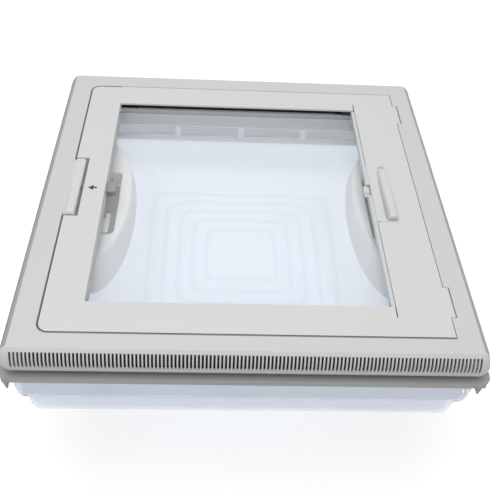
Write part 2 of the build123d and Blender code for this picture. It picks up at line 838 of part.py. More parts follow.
def roller_cap(sign):
    """End cap of the roller, with the stub that runs in its bracket."""
    half = roller_half
    plug = sorted((sign * (half - cap_plug), sign * half))
    flange = sorted((sign * half, sign * (half + cap_thick)))
    stub = sorted((sign * (half + cap_thick), sign * (half + cap_thick + part_gap + bracket_thick)))
    cap = rod_y(roller_x, roller_depth, roller_radius - roller_wall, *plug)
    cap += rod_y(roller_x, roller_depth, wound_radius, *flange)
    return cap + rod_y(roller_x, roller_depth, axle_radius, *stub)


def blind_roll():
    """Blind wound on the tube."""
    half = half_opening + groove_reach - cloth_gap
    roll = rod_y(roller_x, roller_depth, wound_radius, -half, half)
    return roll - rod_y(roller_x, roller_depth, roller_radius, -half - 1, half + 1)


def roller_spring():
    """Spring inside the tube that winds the blind up."""
    half = roller_half - spring_inset
    outer = roller_radius - roller_wall - spring_gap
    spring = rod_y(roller_x, roller_depth, outer, -half, half)
    return spring - rod_y(roller_x, roller_depth, outer - spring_wall, -half - 1, half + 1)


def blind_fabric():
    """Free stretch of the blind from its roll to the pull bar."""
    top = roller_depth - wound_radius - blind_thick
    half = half_opening + groove_reach - cloth_gap
    return block((opening_right, roller_x), (-half, half), top, top + blind_thick)


def pull_bar():
    """Bar on the blind's free edge, with its ends in the grooves."""
    reach = half_opening + groove_reach - tongue_gap
    half = half_opening - bar_gap
    bar = block((bar_left, opening_right), (-half, half), bar_top, bar_bottom)
    low = groove_bottom - shoe_clearance
    bar += block((bar_left, opening_right), (-reach, reach), groove_top + tongue_inset, low - tongue_inset)
    half = catch_length / 2 + catch_gap
    notch_y = (catch_middle - half, catch_middle + half)
    return bar - block((bar_left - 1, opening_right + 1), notch_y, 0, catch_depth)


def bar_shoe(sign):
    """Slide on one end of the pull bar."""
    y = sorted((sign * (half_opening + bar_gap), sign * (half_opening + groove_reach - shoe_end_gap)))
    x = (opening_right - shoe_length, opening_right)
    top, low = groove_top + shoe_clearance, groove_bottom - shoe_clearance
    shoe = block(x, y, top, low)
    reach = half_opening + groove_reach - tongue_gap
    slot_y = sorted((sign * (half_opening - 1), sign * reach))
    return shoe - block((bar_left, opening_right), slot_y, groove_top + tongue_inset, low - tongue_inset)


def bar_catch():
    """Catch block with its round pin, near the middle of the pull bar."""
    half = catch_length / 2
    right = opening_right - catch_inset
    x = (right - catch_width, right)
    plate = catch_depth - catch_thick
    catch = block(x, (catch_middle - half, catch_middle + half), plate, catch_depth)
    return catch + rod_z((x[0] + x[1]) / 2, catch_pin_y, catch_pin_radius, bar_top, plate)


def bar_keeper():
    """Keeper on the far rail that holds the pull bar when the blind is shut."""
    travel_end = bar_left - blind_travel
    x = (opening_left, travel_end - part_gap)
    top = catch_depth + keeper_gap
    y = (catch_middle - keeper_half, catch_middle + keeper_half)
    return block(x, y, top, top + keeper_height)


def grip_ramp(x, front, back, low, high, foot):
    """A bar along Y that rises from a low back end to a rounded front end."""
    nose = (high + foot) * nose_run
    top = Line((back, level(-low)), (front + nose, level(-high)))
    curve = ThreePointArc(
        (front + nose, level(-high)),
        (front + nose * nose_bow[0], level(-high * nose_bow[1])),
        (front, level(foot)),
    )
    sides = [Line((front, level(foot)), (back, level(foot))), Line((back, level(foot)), (back, level(-low)))]
    section = Plane.YZ * make_face([top, curve] + sides)
    bar = extrude(section, x[1] - x[0])
    return Pos(x[0], 0, 0) * bar


def blind_handle():
    """Handle of the blind: a flush plate that the pull bar carries, with a raised grip."""
    front, back = plate_span()
    plate = block((opening_right, cassette_right - part_gap), (front, back), plate_top, cover_thick)
    x = (handle_left, handle_right)
    grip = grip_ramp(x, handle_front, handle_back, handle_low, handle_height, plate_top)
    crest = grip.faces().sort_by(Axis.Z)[-1].edges().filter_by(Axis.X, reverse=True)
    grip = fillet(crest, handle_edge)
    web_low = bar_top + bar_overlap
    web = block((opening_right, opening_right + handle_web), (front, back), cover_thick, web_low)
    return plate + grip + web


def latch_handle():
    """Sliding latch: cap, body in the frame's pocket and guided tail."""
    body_x = (screen_left, latch_right)
    cap_left = screen_left + latch_flank
    y, heights = (latch_front, latch_back), (latch_low, latch_height, -latch_lift)
    cap = grip_ramp((cap_left, latch_right), *y, *heights)
    flank = [(latch_left, level(-latch_lift)), (cap_left, level(-latch_lift))]
    flank += [(cap_left, level(-latch_height)), (latch_left + flank_top, level(-latch_low - flank_low))]
    section = Plane.XZ * make_face(Polyline(*flank, close=True))
    wedge = extrude(section, latch_back - latch_front)
    wedge = Pos(0, latch_back, 0) * wedge
    envelope = grip_ramp((latch_left, latch_right), *y, *heights)
    cap += wedge & envelope
    body = block(body_x, y, -latch_lift, latch_foot)
    tail = block((tail_left, screen_left + 1), (-tail_half, tail_half), tail_top, tail_top + tail_thick)
    return cap + body + tail


def latch_spring():
    """Spring between the latch's tail and the stop on the trim."""
    middle = tail_top + tail_thick / 2
    coil = rod_x(0, middle, spring_radius, stop_x, tail_left)
    return coil - rod_x(0, middle, spring_radius - spring_tube, stop_x - 1, tail_left + 1)


# Nodes that are drawn about the hinged frame's own middle
screen_nodes = (
    "screen_frame", "insect_net", "net_spline", "cassette_cover_front", "cassette_cover_back",
    "roller_bracket_front", "roller_bracket_back", "roller_tube", "roller_cap_front", "roller_cap_back",
    "roller_spring", "blind_roll", "blind_fabric", "pull_bar", "bar_shoe_front", "bar_shoe_back",
    "bar_catch", "bar_keeper", "blind_handle",
)


def model():
    """Every node of the rooflight, by name."""
    edge = grille()
    parts = {"ceiling_trim": ceiling_trim()}
    for name, turn in (("right", 0), ("back", 90), ("left", 180), ("front", 270)):
        parts["grille_" + name] = Rot(0, 0, turn) * edge
    parts["roof_flange"] = roof_flange()
    parts["vent_mesh"] = vent_mesh()
    parts["dome_seal"] = dome_seal()
    parts["trim_screws"] = trim_screws()
    parts["hinge_pins"] = hinge_pins()
    rear = arm_bracket(arm_pivot_y, flange_face + flange_plate)
    front = arm_bracket(-arm_pivot_y, inner_rim)
    parts["rear_arm_brackets"] = [rear, mirrored(rear)]
    parts["front_arm_brackets"] = [front, mirrored(front)]
    rear_pin, front_pin = arm_pin(arm_pivot_y), arm_pin(-arm_pivot_y)
    parts["rear_arm_pins"] = [rear_pin, mirrored(rear_pin)]
    parts["front_arm_pins"] = [front_pin, mirrored(front_pin)]
    arm = lift_arm()
    parts["arm_right"] = arm
    parts["arm_left"] = mirrored(arm)
    parts["dome_outer"] = dome_outer()
    parts["dome_inner"] = dome_inner()
    grip = side_grip() + grip_screw_posts()
    parts["side_grip_right"] = grip
    parts["side_grip_left"] = mirrored(grip)
    parts["grip_screws"] = grip_screws()
    handle, pin, coil = lever(), lever_pin(), lever_spring()
    parts["grip_lever_right"] = handle
    parts["grip_lever_left"] = mirrored(handle)
    parts["lever_pins"] = [pin, mirrored(pin)]
    parts["lever_springs"] = [coil, mirrored(coil)]
    parts["screen_frame"] = screen_frame()
    parts["insect_net"] = insect_net()
    parts["net_spline"] = net_spline()
    parts["cassette_cover_front"], parts["cassette_cover_back"] = cassette_covers()
    parts["roller_bracket_front"] = roller_bracket(-1)
    parts["roller_bracket_back"] = roller_bracket(1)
    parts["roller_tube"] = roller_tube()
    parts["roller_cap_front"] = roller_cap(-1)
    parts["roller_cap_back"] = roller_cap(1)
    parts["roller_spring"] = roller_spring()
    parts["blind_roll"] = blind_roll()
    parts["blind_fabric"] = blind_fabric()
    parts["pull_bar"] = pull_bar()
    parts["bar_shoe_front"] = bar_shoe(-1)
    parts["bar_shoe_back"] = bar_shoe(1)
    parts["bar_catch"] = bar_catch()
    parts["bar_keeper"] = bar_keeper()
    parts["blind_handle"] = blind_handle()
    for name in screen_nodes:
        parts[name] = screen_place(parts[name])
    parts["latch_handle"] = latch_handle()
    parts["latch_spring"] = latch_spring()
    return parts


def write(parts):
    """One STEP file for each node."""
    os.makedirs("parts", exist_ok=True)
    for name, shape in parts.items():
        if isinstance(shape, (list, tuple)):
            shape = Compound(children=[Solid(piece.solid().wrapped) for piece in shape])
        export_step(shape, os.path.join("parts", name + ".step"))
        print(name, "written")


write(model())
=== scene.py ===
# Looks of the rooflight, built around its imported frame. Metres, cabin face up, hinges of the screen at +X.
import json
import math

import bmesh
import bpy
import numpy as np
from mathutils import Matrix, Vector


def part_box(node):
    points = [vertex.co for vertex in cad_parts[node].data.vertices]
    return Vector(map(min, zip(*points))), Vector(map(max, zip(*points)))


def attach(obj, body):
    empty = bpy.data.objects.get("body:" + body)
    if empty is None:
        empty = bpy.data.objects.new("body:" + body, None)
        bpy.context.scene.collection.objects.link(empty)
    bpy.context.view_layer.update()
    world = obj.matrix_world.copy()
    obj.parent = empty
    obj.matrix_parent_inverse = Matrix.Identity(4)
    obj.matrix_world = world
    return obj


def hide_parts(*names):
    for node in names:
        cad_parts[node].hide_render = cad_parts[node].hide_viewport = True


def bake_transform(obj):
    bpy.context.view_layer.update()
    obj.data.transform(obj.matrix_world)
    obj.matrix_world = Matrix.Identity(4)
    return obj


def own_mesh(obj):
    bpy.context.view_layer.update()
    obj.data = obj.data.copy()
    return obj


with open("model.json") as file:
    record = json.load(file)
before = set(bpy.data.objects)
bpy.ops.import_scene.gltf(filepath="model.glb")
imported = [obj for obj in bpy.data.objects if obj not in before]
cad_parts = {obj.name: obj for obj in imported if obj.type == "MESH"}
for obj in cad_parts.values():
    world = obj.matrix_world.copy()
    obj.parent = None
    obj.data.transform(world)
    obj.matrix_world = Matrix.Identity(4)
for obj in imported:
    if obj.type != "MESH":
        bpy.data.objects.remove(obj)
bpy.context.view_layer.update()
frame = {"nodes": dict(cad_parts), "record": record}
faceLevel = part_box("ceiling_trim")[1].z  # the cabin face; every depth below is taken from it
mm = 0.001
tiny = 1e-6  # a length that counts as none
upright = 0.9  # share of Z from which a direction counts as upright


# plain helpers for meshes

def level(depth):
    # Z of a depth in millimetres below the cabin face
    return faceLevel - depth * mm


def smoothStep(t):
    # 3 t squared less 2 t cubed, held at 0 and 1
    t = np.clip(t, 0, 1)
    return t * t * (3 - 2 * t)


def signedVolume(points, faces):
    # sum of the tetrahedra from the origin to each face's fan of triangles
    total = 0.0
    for face in faces:
        p = points[list(face)]
        total += np.einsum("ij,ij->i", np.cross(p[1:-1], p[2:]), np.tile(p[0], (len(p) - 2, 1))).sum()
    return total / 6


def gridFaces(rows, columns, wrap=False):
    # quads between neighbours of a rows by columns grid; the columns may wrap round
    r = np.arange(rows - 1)[:, None]
    c = np.arange(columns if wrap else columns - 1)[None, :]
    nextRow, nextColumn = r + 1, (c + 1) % columns
    corners = [r * columns + c, r * columns + nextColumn, nextRow * columns + nextColumn, nextRow * columns + c]
    return np.stack([np.broadcast_to(k, (r.size, c.size)) for k in corners], -1).reshape(-1, 4)


def lofted(rows):
    # (rows, columns, 3) points as a closed surface: the columns wrap round, and flat caps close both ends
    rows = np.array(rows)
    count, columns = rows.shape[:2]
    faces = gridFaces(count, columns, True).tolist()
    faces.append(list(range(columns))[::-1])
    faces.append([(count - 1) * columns + i for i in range(columns)])
    return outwards(rows.reshape(-1, 3), faces)


def joined(parts):
    # several (points, faces) as one, with the indices shifted
    points, faces, first = [], [], 0
    for p, f in parts:
        points.append(p)
        faces += [[first + i for i in face] for face in f]
        first += len(p)
    return np.concatenate(points), faces


def outwards(points, faces):
    # the same faces, turned round if the volume comes out negative
    if signedVolume(points, faces) < 0:
        faces = [list(face)[::-1] for face in faces]
    return points, faces


def linked(name, data):
    # a new object in the scene
    thing = bpy.data.objects.new(name, data)
    bpy.context.scene.collection.objects.link(thing)
    return thing


def newPiece(name, shape, finish, body):
    # a mesh from (points, faces) with its finish, riding on a body unless that is None
    points, faces = shape
    mesh = bpy.data.meshes.new(name)
    mesh.from_pydata(np.asarray(points, float).tolist(), [], [list(f) for f in faces])
    mesh.validate()
    piece = linked(name, mesh)
    finishSurface(piece, finish)
    if body:
        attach(piece, body)
    return piece


creaseAngles = {"netThread": 10, "meshThread": 10, "darkFinishAndShade": 30, "blindCloth": 35, "gripPlastic": 50,
                "innerAcrylic": 50, "outerAcrylic": 50, "steel": 60, "other": 40}  # degrees


def finishSurface(piece, finish):
    # one material, and smooth shading between faces that meet at less than the finish's angle
    piece.data.materials.clear()
    piece.data.materials.append(surfaces[finish])
    piece.data.shade_smooth()
    bm = bmesh.new()
    bm.from_mesh(piece.data)
    limit = math.radians(creaseAngles.get(finish, creaseAngles["other"]))
    for edge in bm.edges:
        edge.smooth = len(edge.link_faces) == 2 and edge.calc_face_angle(0.0) < limit
    bm.to_mesh(piece.data)
    bm.free()


arcLimits = {"straight": 0.02, "share": 0.49}  # a turn too slight to round, and the part of a side an arc may take


def cornerArc(before, corner, after, radius, steps):
    # tangent arc that rounds one corner of a plane line: centre on the bisector, radius over sine of half
    a, b = before - corner, after - corner
    la, lb = np.linalg.norm(a), np.linalg.norm(b)
    a, b = a / la, b / lb
    turn = math.acos(float(np.clip(a @ b, -1, 1)))
    if radius <= 0 or turn > math.pi - arcLimits["straight"]:
        return corner[None, :]
    reach = min(radius / math.tan(turn / 2), arcLimits["share"] * la, arcLimits["share"] * lb)
    radius = reach * math.tan(turn / 2)
    bisector = (a + b) / np.linalg.norm(a + b)
    centre = corner + bisector * radius / math.sin(turn / 2)
    start, end = corner + a * reach - centre, corner + b * reach - centre
    t = np.linspace(0, 1, steps)[:, None]
    spread = math.pi - turn
    arc = (np.sin((1 - t) * spread) * start + np.sin(t * spread) * end) / math.sin(spread)
    return centre + arc


def roundedLine(points, radii, steps):
    # a plane line through the points with each inner corner rounded by its own radius
    points = np.asarray(points, float)
    arcs = [cornerArc(*points[i - 1:i + 2], radii[i], steps) for i in range(1, len(points) - 1)]
    return np.concatenate([points[:1], *arcs, points[-1:]])


def roundedPlan(halfX, halfY, corner, steps):
    # plan of a rectangle with rounded corners, the same number of points for any size
    angles = np.linspace(0, math.pi / 2, steps)
    parts = []
    for quarter, (sx, sy) in enumerate(((1, 1), (-1, 1), (-1, -1), (1, -1))):
        turn = angles + quarter * math.pi / 2
        centre = np.array([sx * (halfX - corner), sy * (halfY - corner)])
        parts.append(centre + corner * np.stack([np.cos(turn), np.sin(turn)], -1))
    return np.concatenate(parts)


def atLevel(plan, z):
    # a plan outline lifted to a height
    return np.column_stack([plan, np.full(len(plan), z)])


def resampled(loop, count):
    # a closed line with evenly spaced points
    closed = np.vstack([loop, loop[:1]])
    run = np.concatenate([[0], np.cumsum(np.linalg.norm(np.diff(closed, axis=0), axis=1))])
    want = np.linspace(0, run[-1], count, endpoint=False)
    return np.column_stack([np.interp(want, run, closed[:, k]) for k in range(loop.shape[1])])


boxCorner = {"least": 0.05, "steps": 5}


def roundedBox(x, y, depth, edge, corner, steps):
    # a box with rounded edges: rows of rounded rectangles, drawn in by 1 minus sine at top and foot
    centre = np.array([(x[0] + x[1]) / 2, (y[0] + y[1]) / 2])
    halfX, halfY = (x[1] - x[0]) / 2, (y[1] - y[0]) / 2
    turn = np.linspace(0, math.pi / 2, steps)
    inset, lift = edge * (1 - np.sin(turn)), edge * (1 - np.cos(turn))
    rows = []
    for by, d in zip([*inset, *inset[::-1]], [*(depth[1] - lift), *(depth[0] + lift[::-1])]):
        plan = roundedPlan(halfX - by, halfY - by, max(corner - by, boxCorner["least"]), boxCorner["steps"])
        rows.append(atLevel((centre + plan) * mm, level(d)))
    return lofted(rows)


def tubeAlong(path, radius, sides):
    # a round tube carried along a path; each ring lies across the path's direction at its point
    along = np.vstack([path[1:], path[-1:]]) - np.vstack([path[:1], path[:-1]])
    along /= np.linalg.norm(along, axis=1)[:, None]
    lean = np.where(np.abs(along[:, 2:]) < upright, [[0.0, 0.0, 1.0]], [[1.0, 0.0, 0.0]])
    side = np.cross(along, lean)
    side /= np.linalg.norm(side, axis=1)[:, None]
    up = np.cross(side, along)
    turn = np.linspace(0, 2 * math.pi, sides, endpoint=False)
    ring = np.cos(turn)[None, :, None] * side[:, None, :] + np.sin(turn)[None, :, None] * up[:, None, :]
    return lofted(path[:, None, :] + radius * ring)


# materials; the patterns read Object coordinates

def fillInputs(owner, node, entries):
    # each entry is a value, or the socket that feeds the input
    for key, entry in entries.items():
        if isinstance(entry, bpy.types.NodeSocket):
            owner.node_tree.links.new(entry, node.inputs[key])
        else:
            node.inputs[key].default_value = entry


def addNode(owner, kind, entries, **traits):
    # a shader node with its traits set and its inputs filled
    node = owner.node_tree.nodes.new("ShaderNode" + kind)
    for trait, value in traits.items():
        setattr(node, trait, value)
    fillInputs(owner, node, entries)
    return node


def newMaterial(name, look):
    # a Principled surface with fine grain in its bump and a slight drift of colour and roughness
    material = bpy.data.materials.new(name)
    material.use_nodes = True
    place = addNode(material, "TexCoord", {}).outputs["Object"]
    drift = addNode(material, "TexNoise", {"Scale": look["driftScale"], "Detail": look["driftDetail"],
                                           "Vector": place}).outputs["Fac"]
    base = np.array(look["colour"])
    low, high = base * (1 - look["colourDrift"]), np.minimum(base * (1 + look["colourDrift"]), 1)
    colour = addNode(material, "Mix", {}, data_type="RGBA")
    fillInputs(material, colour, {"A": (*low, 1), "B": (*high, 1), "Factor": drift})
    rough = addNode(material, "MapRange", {"To Min": look["roughness"] - look["roughDrift"],
                                           "To Max": look["roughness"] + look["roughDrift"], "Value": drift})
    grain = addNode(material, "TexNoise", {"Scale": look["grainScale"], "Detail": look["grainDetail"],
                                           "Vector": place})
    bump = addNode(material, "Bump", {"Strength": look["grainStrength"], "Distance": look["grainHeight"],
                                      "Height": grain.outputs["Fac"]})
    fillInputs(material, material.node_tree.nodes["Principled BSDF"], {
        "Base Color": colour.outputs["Result"], "Roughness": rough.outputs["Result"],
        "Normal": bump.outputs["Normal"], **look["sockets"]})
    return material


def plastic(colour, roughness=0.42, grain=0.25, **more):
    # a moulded plastic with a spark-eroded grain about 0.4 mm across
    settings = {"colour": colour, "colourDrift": 0.012, "driftScale": 14.0, "driftDetail": 3.0,
                "roughness": roughness, "roughDrift": 0.04, "grainScale": 2600.0, "grainDetail": 4.0,
                "grainStrength": grain, "grainHeight": 0.0001, "sockets": {"Specular IOR Level": 0.4}}
    settings.update(more)
    return settings


finishes = {
    "trimPlastic": plastic((0.56, 0.56, 0.557)),
    "screenPlastic": plastic((0.60, 0.60, 0.597)),
    "handlePlastic": plastic((0.60, 0.60, 0.597)),
    "sideGrille": plastic((0.56, 0.56, 0.557)),
    "frontGrille": plastic((0.56, 0.56, 0.557)),
    "flangePlastic": plastic((0.36, 0.36, 0.355), roughness=0.5, grain=0.3),
    "outerAcrylic": plastic((0.91, 0.945, 0.985), roughness=0.45, grain=0.02, colourDrift=0.01,
                            sockets={"Specular IOR Level": 0.5, "Transmission Weight": 0.8, "IOR": 1.06,
                                     "Coat Weight": 0.15, "Coat Roughness": 0.1}),
    "innerAcrylic": plastic((0.93, 0.955, 0.99), roughness=0.45, grain=0.02, colourDrift=0.01,
                            sockets={"Specular IOR Level": 0.5, "Transmission Weight": 0.82, "IOR": 1.05}),
    "gripPlastic": plastic((0.93, 0.93, 0.915), roughness=0.4),
    "leverPlastic": plastic((0.29, 0.30, 0.297), roughness=0.45),
    "netThread": plastic((0.80, 0.82, 0.84), roughness=0.55, grain=0.1),
    "meshThread": plastic((0.40, 0.41, 0.425), roughness=0.55, grain=0.1),
    "barPlastic": plastic((0.56, 0.595, 0.59), roughness=0.3, grain=0.1),
    "slidePlastic": plastic((0.60, 0.605, 0.60), roughness=0.35, grain=0.1),
    "sealRubber": plastic((0.42, 0.43, 0.44), roughness=0.6, grain=0.3),
    "paleSeal": plastic((0.84, 0.85, 0.86), roughness=0.6, grain=0.3),
    # near black for sheets of painted shade behind the slots and in the grooves
    "darkShadeSheet": plastic((0.022, 0.024, 0.024), roughness=0.85, grain=0.5, colourDrift=0.2),
    "railGrey": plastic((0.42, 0.44, 0.45), roughness=0.7, grain=0.4),
    # dark for the printed marks and the bar's shoes, and for painted shade along the frame's edge
    "darkFinishAndShade": plastic((0.035, 0.035, 0.035), roughness=0.5, grain=0.2, colourDrift=0.1),
    "blindCloth": plastic((0.60, 0.60, 0.58), roughness=0.8, grain=0.6, grainScale=1500.0),
    "steel": plastic((0.50, 0.51, 0.53), roughness=0.32, grain=0.15, colourDrift=0.05,
                     sockets={"Metallic": 1.0}),
    "aluminium": plastic((0.62, 0.63, 0.64), roughness=0.3, grain=0.2, colourDrift=0.03,
                         sockets={"Metallic": 1.0}),
}
surfaces = {name: newMaterial(name, settings) for name, settings in finishes.items()}


def calculated(owner, operation, *values):
    # one Math node; each value is a socket or a number
    return addNode(owner, "Math", dict(enumerate(values)), operation=operation).outputs[0]


def objectPlace(material, *axes):
    # Object coordinates along the named axes
    place = addNode(material, "TexCoord", {}).outputs["Object"]
    split = addNode(material, "SeparateXYZ", {0: place})
    return [split.outputs[axis] for axis in axes]


def fromMiddle(material, *axes):
    # absolute Object coordinates along the named axes
    return [calculated(material, "ABSOLUTE", place) for place in objectPlace(material, *axes)]


def tinted(material, factor, colour):
    # base colour moved towards a colour by a factor
    shader = material.node_tree.nodes["Principled BSDF"]
    both = addNode(material, "Mix", {}, data_type="RGBA")
    fillInputs(material, both, {"A": shader.inputs["Base Color"].links[0].from_socket, "B": (*colour, 1),
                                "Factor": factor})
    fillInputs(material, shader, {"Base Color": both.outputs["Result"]})


def product(material, *values):
    # the values multiplied one after the other
    total = values[0]
    for value in values[1:]:
        total = calculated(material, "MULTIPLY", total, value)
    return total


def shareOf(material, value, low, high):
    # value less low, over high less low
    return product(material, calculated(material, "SUBTRACT", value, low), 1 / (high - low))


rampSpan = 0.4  # metres from the middle to the end of a ramp of squares


def squareReach(material, power):
    # the pth root of |x|^p + |y|^p, the reach of a square with round corners, as a share of the ramp;
    # the sum is taken over half the ramp's span and halved after, which keeps the powers near 1
    parts = [calculated(material, "POWER", product(material, side, 2 / rampSpan), power)
             for side in fromMiddle(material, "X", "Y")]
    return product(material, calculated(material, "POWER", calculated(material, "ADD", *parts), 1 / power), 0.5)


def rampOf(material, value, stops, interpolation="LINEAR"):
    # grey ramp through (place, brightness) stops
    node = addNode(material, "ValToRGB", {0: value})
    ramp = node.color_ramp
    ramp.interpolation = interpolation
    while len(ramp.elements) < len(stops):
        ramp.elements.new(0.5)
    for element, (place, grey) in zip(ramp.elements, stops):
        element.position, element.color = place, (grey, grey, grey, 1)
    return node.outputs[0]


def slotShade(material, axis, look):
    # painted shade in the slots: dark where the distance along the axis from the nearest slot's middle is less than
    # half a slot, between the two depths and within the row
    along, = fromMiddle(material, axis)
    height, = objectPlace(material, "Z")
    turns = calculated(material, "ADD", calculated(material, "DIVIDE", along, look["pitch"] * mm), 0.5)
    away = calculated(material, "ABSOLUTE",
                      calculated(material, "SUBTRACT", calculated(material, "FRACT", turns), 0.5))
    limits = (("LESS_THAN", away, look["half"] / look["pitch"]), ("LESS_THAN", along, look["end"] * mm),
              ("LESS_THAN", height, level(look["top"])), ("GREATER_THAN", height, level(look["low"])))
    mask = product(material, *(calculated(material, *limit) for limit in limits))
    tinted(material, mask, look["colour"])


reachLook = {
    # painted shade on the handle's left flank and under its nose
    "handle": {"x": (0.1675, 0.1745), "stops": [(0.0, 0.9), (0.35, 0.8), (1.0, 0.0)], "y": (0.0445, 0.0495),
               "noseStops": [(0.0, 0.0), (1.0, 1.0)], "above": 0.3, "dark": (0.38, 0.38, 0.378)},
    # painted light: the inside of the flange paler than its front band
    "flange": {"inner": (0.92, 0.93, 0.94), "edge": 0.2015},
    # painted shade: the walls of the outer skin darker than its floor
    "outer": {"wall": (0.83, 0.86, 0.905), "from": 0.186, "to": 0.205, "power": 16.0},
    # painted shade: dark bands along the modelled steps of the squares in the pan
    "inner": {"dark": (0.845, 0.88, 0.935), "first": 0.046, "pitch": 0.019, "count": 5, "half": 0.005,
              "power": 10.0},
    # painted shade in the grilles' slots
    "sideSlots": {"pitch": 3.86, "half": 1.17, "end": 237.0, "top": 0.2, "low": 20.1, "colour": (0.17, 0.17, 0.17)},
    "frontSlots": {"pitch": 3.86, "half": 1.1, "end": 237.0, "top": 2.9, "low": 3.9, "colour": (0.05, 0.05, 0.05)},
}


def shadeByPlace():
    # painted light and shade set by place: the inside of the flange paler, the walls of the outer skin darker, dark
    # bands along the squares in the pan, the handle's left flank and nose darker, and dark slots in the grilles
    # painted light: the flange paler inside the edge distance from the middle
    look, material = reachLook["flange"], surfaces["flangePlastic"]
    farther = calculated(material, "MAXIMUM", *fromMiddle(material, "X", "Y"))
    tinted(material, calculated(material, "LESS_THAN", farther, look["edge"]), look["inner"])
    # painted shade: the outer skin darker towards its walls
    look, material = reachLook["outer"], surfaces["outerAcrylic"]
    stops = [(look["from"] / rampSpan, 0.0), (look["to"] / rampSpan, 1.0)]
    tinted(material, rampOf(material, squareReach(material, look["power"]), stops), look["wall"])
    # painted shade: dark bands along the squares of the inner skin, on top of its modelled steps
    look, material = reachLook["inner"], surfaces["innerAcrylic"]
    stops = []
    for i in range(look["count"]):
        middle = look["first"] + look["pitch"] * i
        stops += [((middle + offset) / rampSpan, grey)
                  for offset, grey in ((-look["half"], 0.0), (0.0, 1.0), (look["half"], 0.0))]
    tinted(material, rampOf(material, squareReach(material, look["power"]), stops, "EASE"), look["dark"])
    # painted shade: the handle's raised part darker on its left flank and under its nose
    look, material = reachLook["handle"], surfaces["handlePlastic"]
    x, y = fromMiddle(material, "X", "Y")
    flank = rampOf(material, shareOf(material, x, *look["x"]), look["stops"], "EASE")
    nose = rampOf(material, shareOf(material, y, *look["y"]), look["noseStops"], "EASE")
    height, = objectPlace(material, "Z")
    high = calculated(material, "GREATER_THAN", height, level(-look["above"]))
    tinted(material, product(material, calculated(material, "MAXIMUM", flank, nose), high), look["dark"])
    slotShade(surfaces["sideGrille"], "Y", reachLook["sideSlots"])
    slotShade(surfaces["frontGrille"], "X", reachLook["frontSlots"])


shadeByPlace()
slotFinish = {
    "trim": "trimPlastic", "screen": "screenPlastic", "flange": "flangePlastic",
    "acrylic_outer": "outerAcrylic", "acrylic_inner": "innerAcrylic", "grip": "gripPlastic",
    "lever": "leverPlastic", "seal": "sealRubber", "mesh": "meshThread", "net": "netThread", "steel": "steel",
    "arm": "aluminium", "tube": "aluminium", "bar": "barPlastic", "slide": "slidePlastic",
    "blind": "blindCloth",
}
nodeFinish = {"grille_left": "sideGrille", "grille_right": "sideGrille", "grille_front": "frontGrille",
              "grille_back": "frontGrille", "dome_seal": "paleSeal", "bar_keeper": "leverPlastic",
              "bar_shoe_front": "darkFinishAndShade", "bar_shoe_back": "darkFinishAndShade"}
nodeSlot = {s["node"]: s["material_slot"] for s in frame["record"]["subparts"]}
bodyOf = {node: body for body, nodes in frame["record"]["behaviour"]["bodies"].items() for node in nodes}
for nodeName, node in frame["nodes"].items():
    node.data.materials.clear()
    node.data.materials.append(surfaces[nodeFinish.get(nodeName, slotFinish[nodeSlot[nodeName]])])
print("materials made")


# insect net and vent meshes: straight threads, those of one direction lying on those of the other

def threads(lines, half):
    # each line (start, end) becomes a closed four-sided strip of the given half thickness
    start, end = lines[:, 0], lines[:, 1]
    along = (end - start) / np.linalg.norm(end - start, axis=1)[:, None]
    up = np.where(np.abs(along[:, 2:]) < upright, [[0.0, 0.0, 1.0]], [[0.0, 1.0, 0.0]])
    side = np.cross(along, up)
    side /= np.linalg.norm(side, axis=1)[:, None]
    up = np.cross(side, along)
    corners = [(1, 1), (-1, 1), (-1, -1), (1, -1)]
    ring = np.stack([half * (a * side + b * up) for a, b in corners], 1)
    points = np.concatenate([start[:, None] + ring, end[:, None] + ring], 1).reshape(-1, 3)
    one = np.array([[0, 1, 5, 4], [1, 2, 6, 5], [2, 3, 7, 6], [3, 0, 4, 7], [3, 2, 1, 0], [4, 5, 6, 7]])
    faces = (np.arange(len(lines))[:, None, None] * 8 + one[None]).reshape(-1, 4).tolist()
    return outwards(points, faces)


def wovenSheet(low, high, flatAxis, pitch, half):
    # threads along both directions of a flat rectangle, the second set one thread further on, and the area:
    # half of the threads' surface, not that of the rectangle
    a, b = [k for k in range(3) if k != flatAxis]
    middle = (low[flatAxis] + high[flatAxis]) / 2
    sets = []
    for run, step, lift in ((a, b, -half), (b, a, half)):
        count = int((high[step] - low[step]) / pitch)
        places = low[step] + ((high[step] - low[step]) - (count - 1) * pitch) / 2 + np.arange(count) * pitch
        lines = np.zeros((count, 2, 3))
        lines[:, :, flatAxis] = middle + lift
        lines[:, :, step] = places[:, None]
        lines[:, 0, run], lines[:, 1, run] = low[run], high[run]
        sets.append(lines)
    lines = np.concatenate(sets)
    length = np.linalg.norm(lines[:, 1] - lines[:, 0], axis=1).sum()
    return threads(lines, half), length * 4 * half


net = {"pitch": 0.0015, "half": 0.00007, "ventPitch": 0.0016, "ventHalf": 0.0002, "ventThick": 0.0008,
       "ventReach": 0.189}


def insectNet():
    low, high = (np.array(corner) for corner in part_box("insect_net"))
    shape, area = wovenSheet(low, high, 2, net["pitch"], net["half"])
    piece = newPiece("insectNet", shape, "netThread", "screen")
    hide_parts("insect_net")


def ventMeshes():
    low, high = (np.array(corner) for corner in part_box("vent_mesh"))
    half, reach = high[0] - net["ventThick"], net["ventReach"]
    for name, axis, sign in (("Right", 0, 1), ("Left", 0, -1), ("Back", 1, 1), ("Front", 1, -1)):
        across = 1 - axis
        start, end = np.array(low), np.array(high)
        start[across], end[across] = -reach, reach
        start[axis], end[axis] = sorted((sign * half, sign * high[0]))
        shape, area = wovenSheet(start, end, axis, net["ventPitch"], net["ventHalf"])
        piece = newPiece("ventMesh" + name, shape, "meshThread", "frame")
        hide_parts("vent_mesh")


insectNet()
ventMeshes()
print("net and meshes made")


# blind: the wound cloth and its free stretch

blind = {"turns": 7, "coreRadius": 5.1, "outerRadius": 7.05, "axisX": 198.0, "axisDepth": 11.5, "steps": 34,
         "clothPoints": (40, 24)}


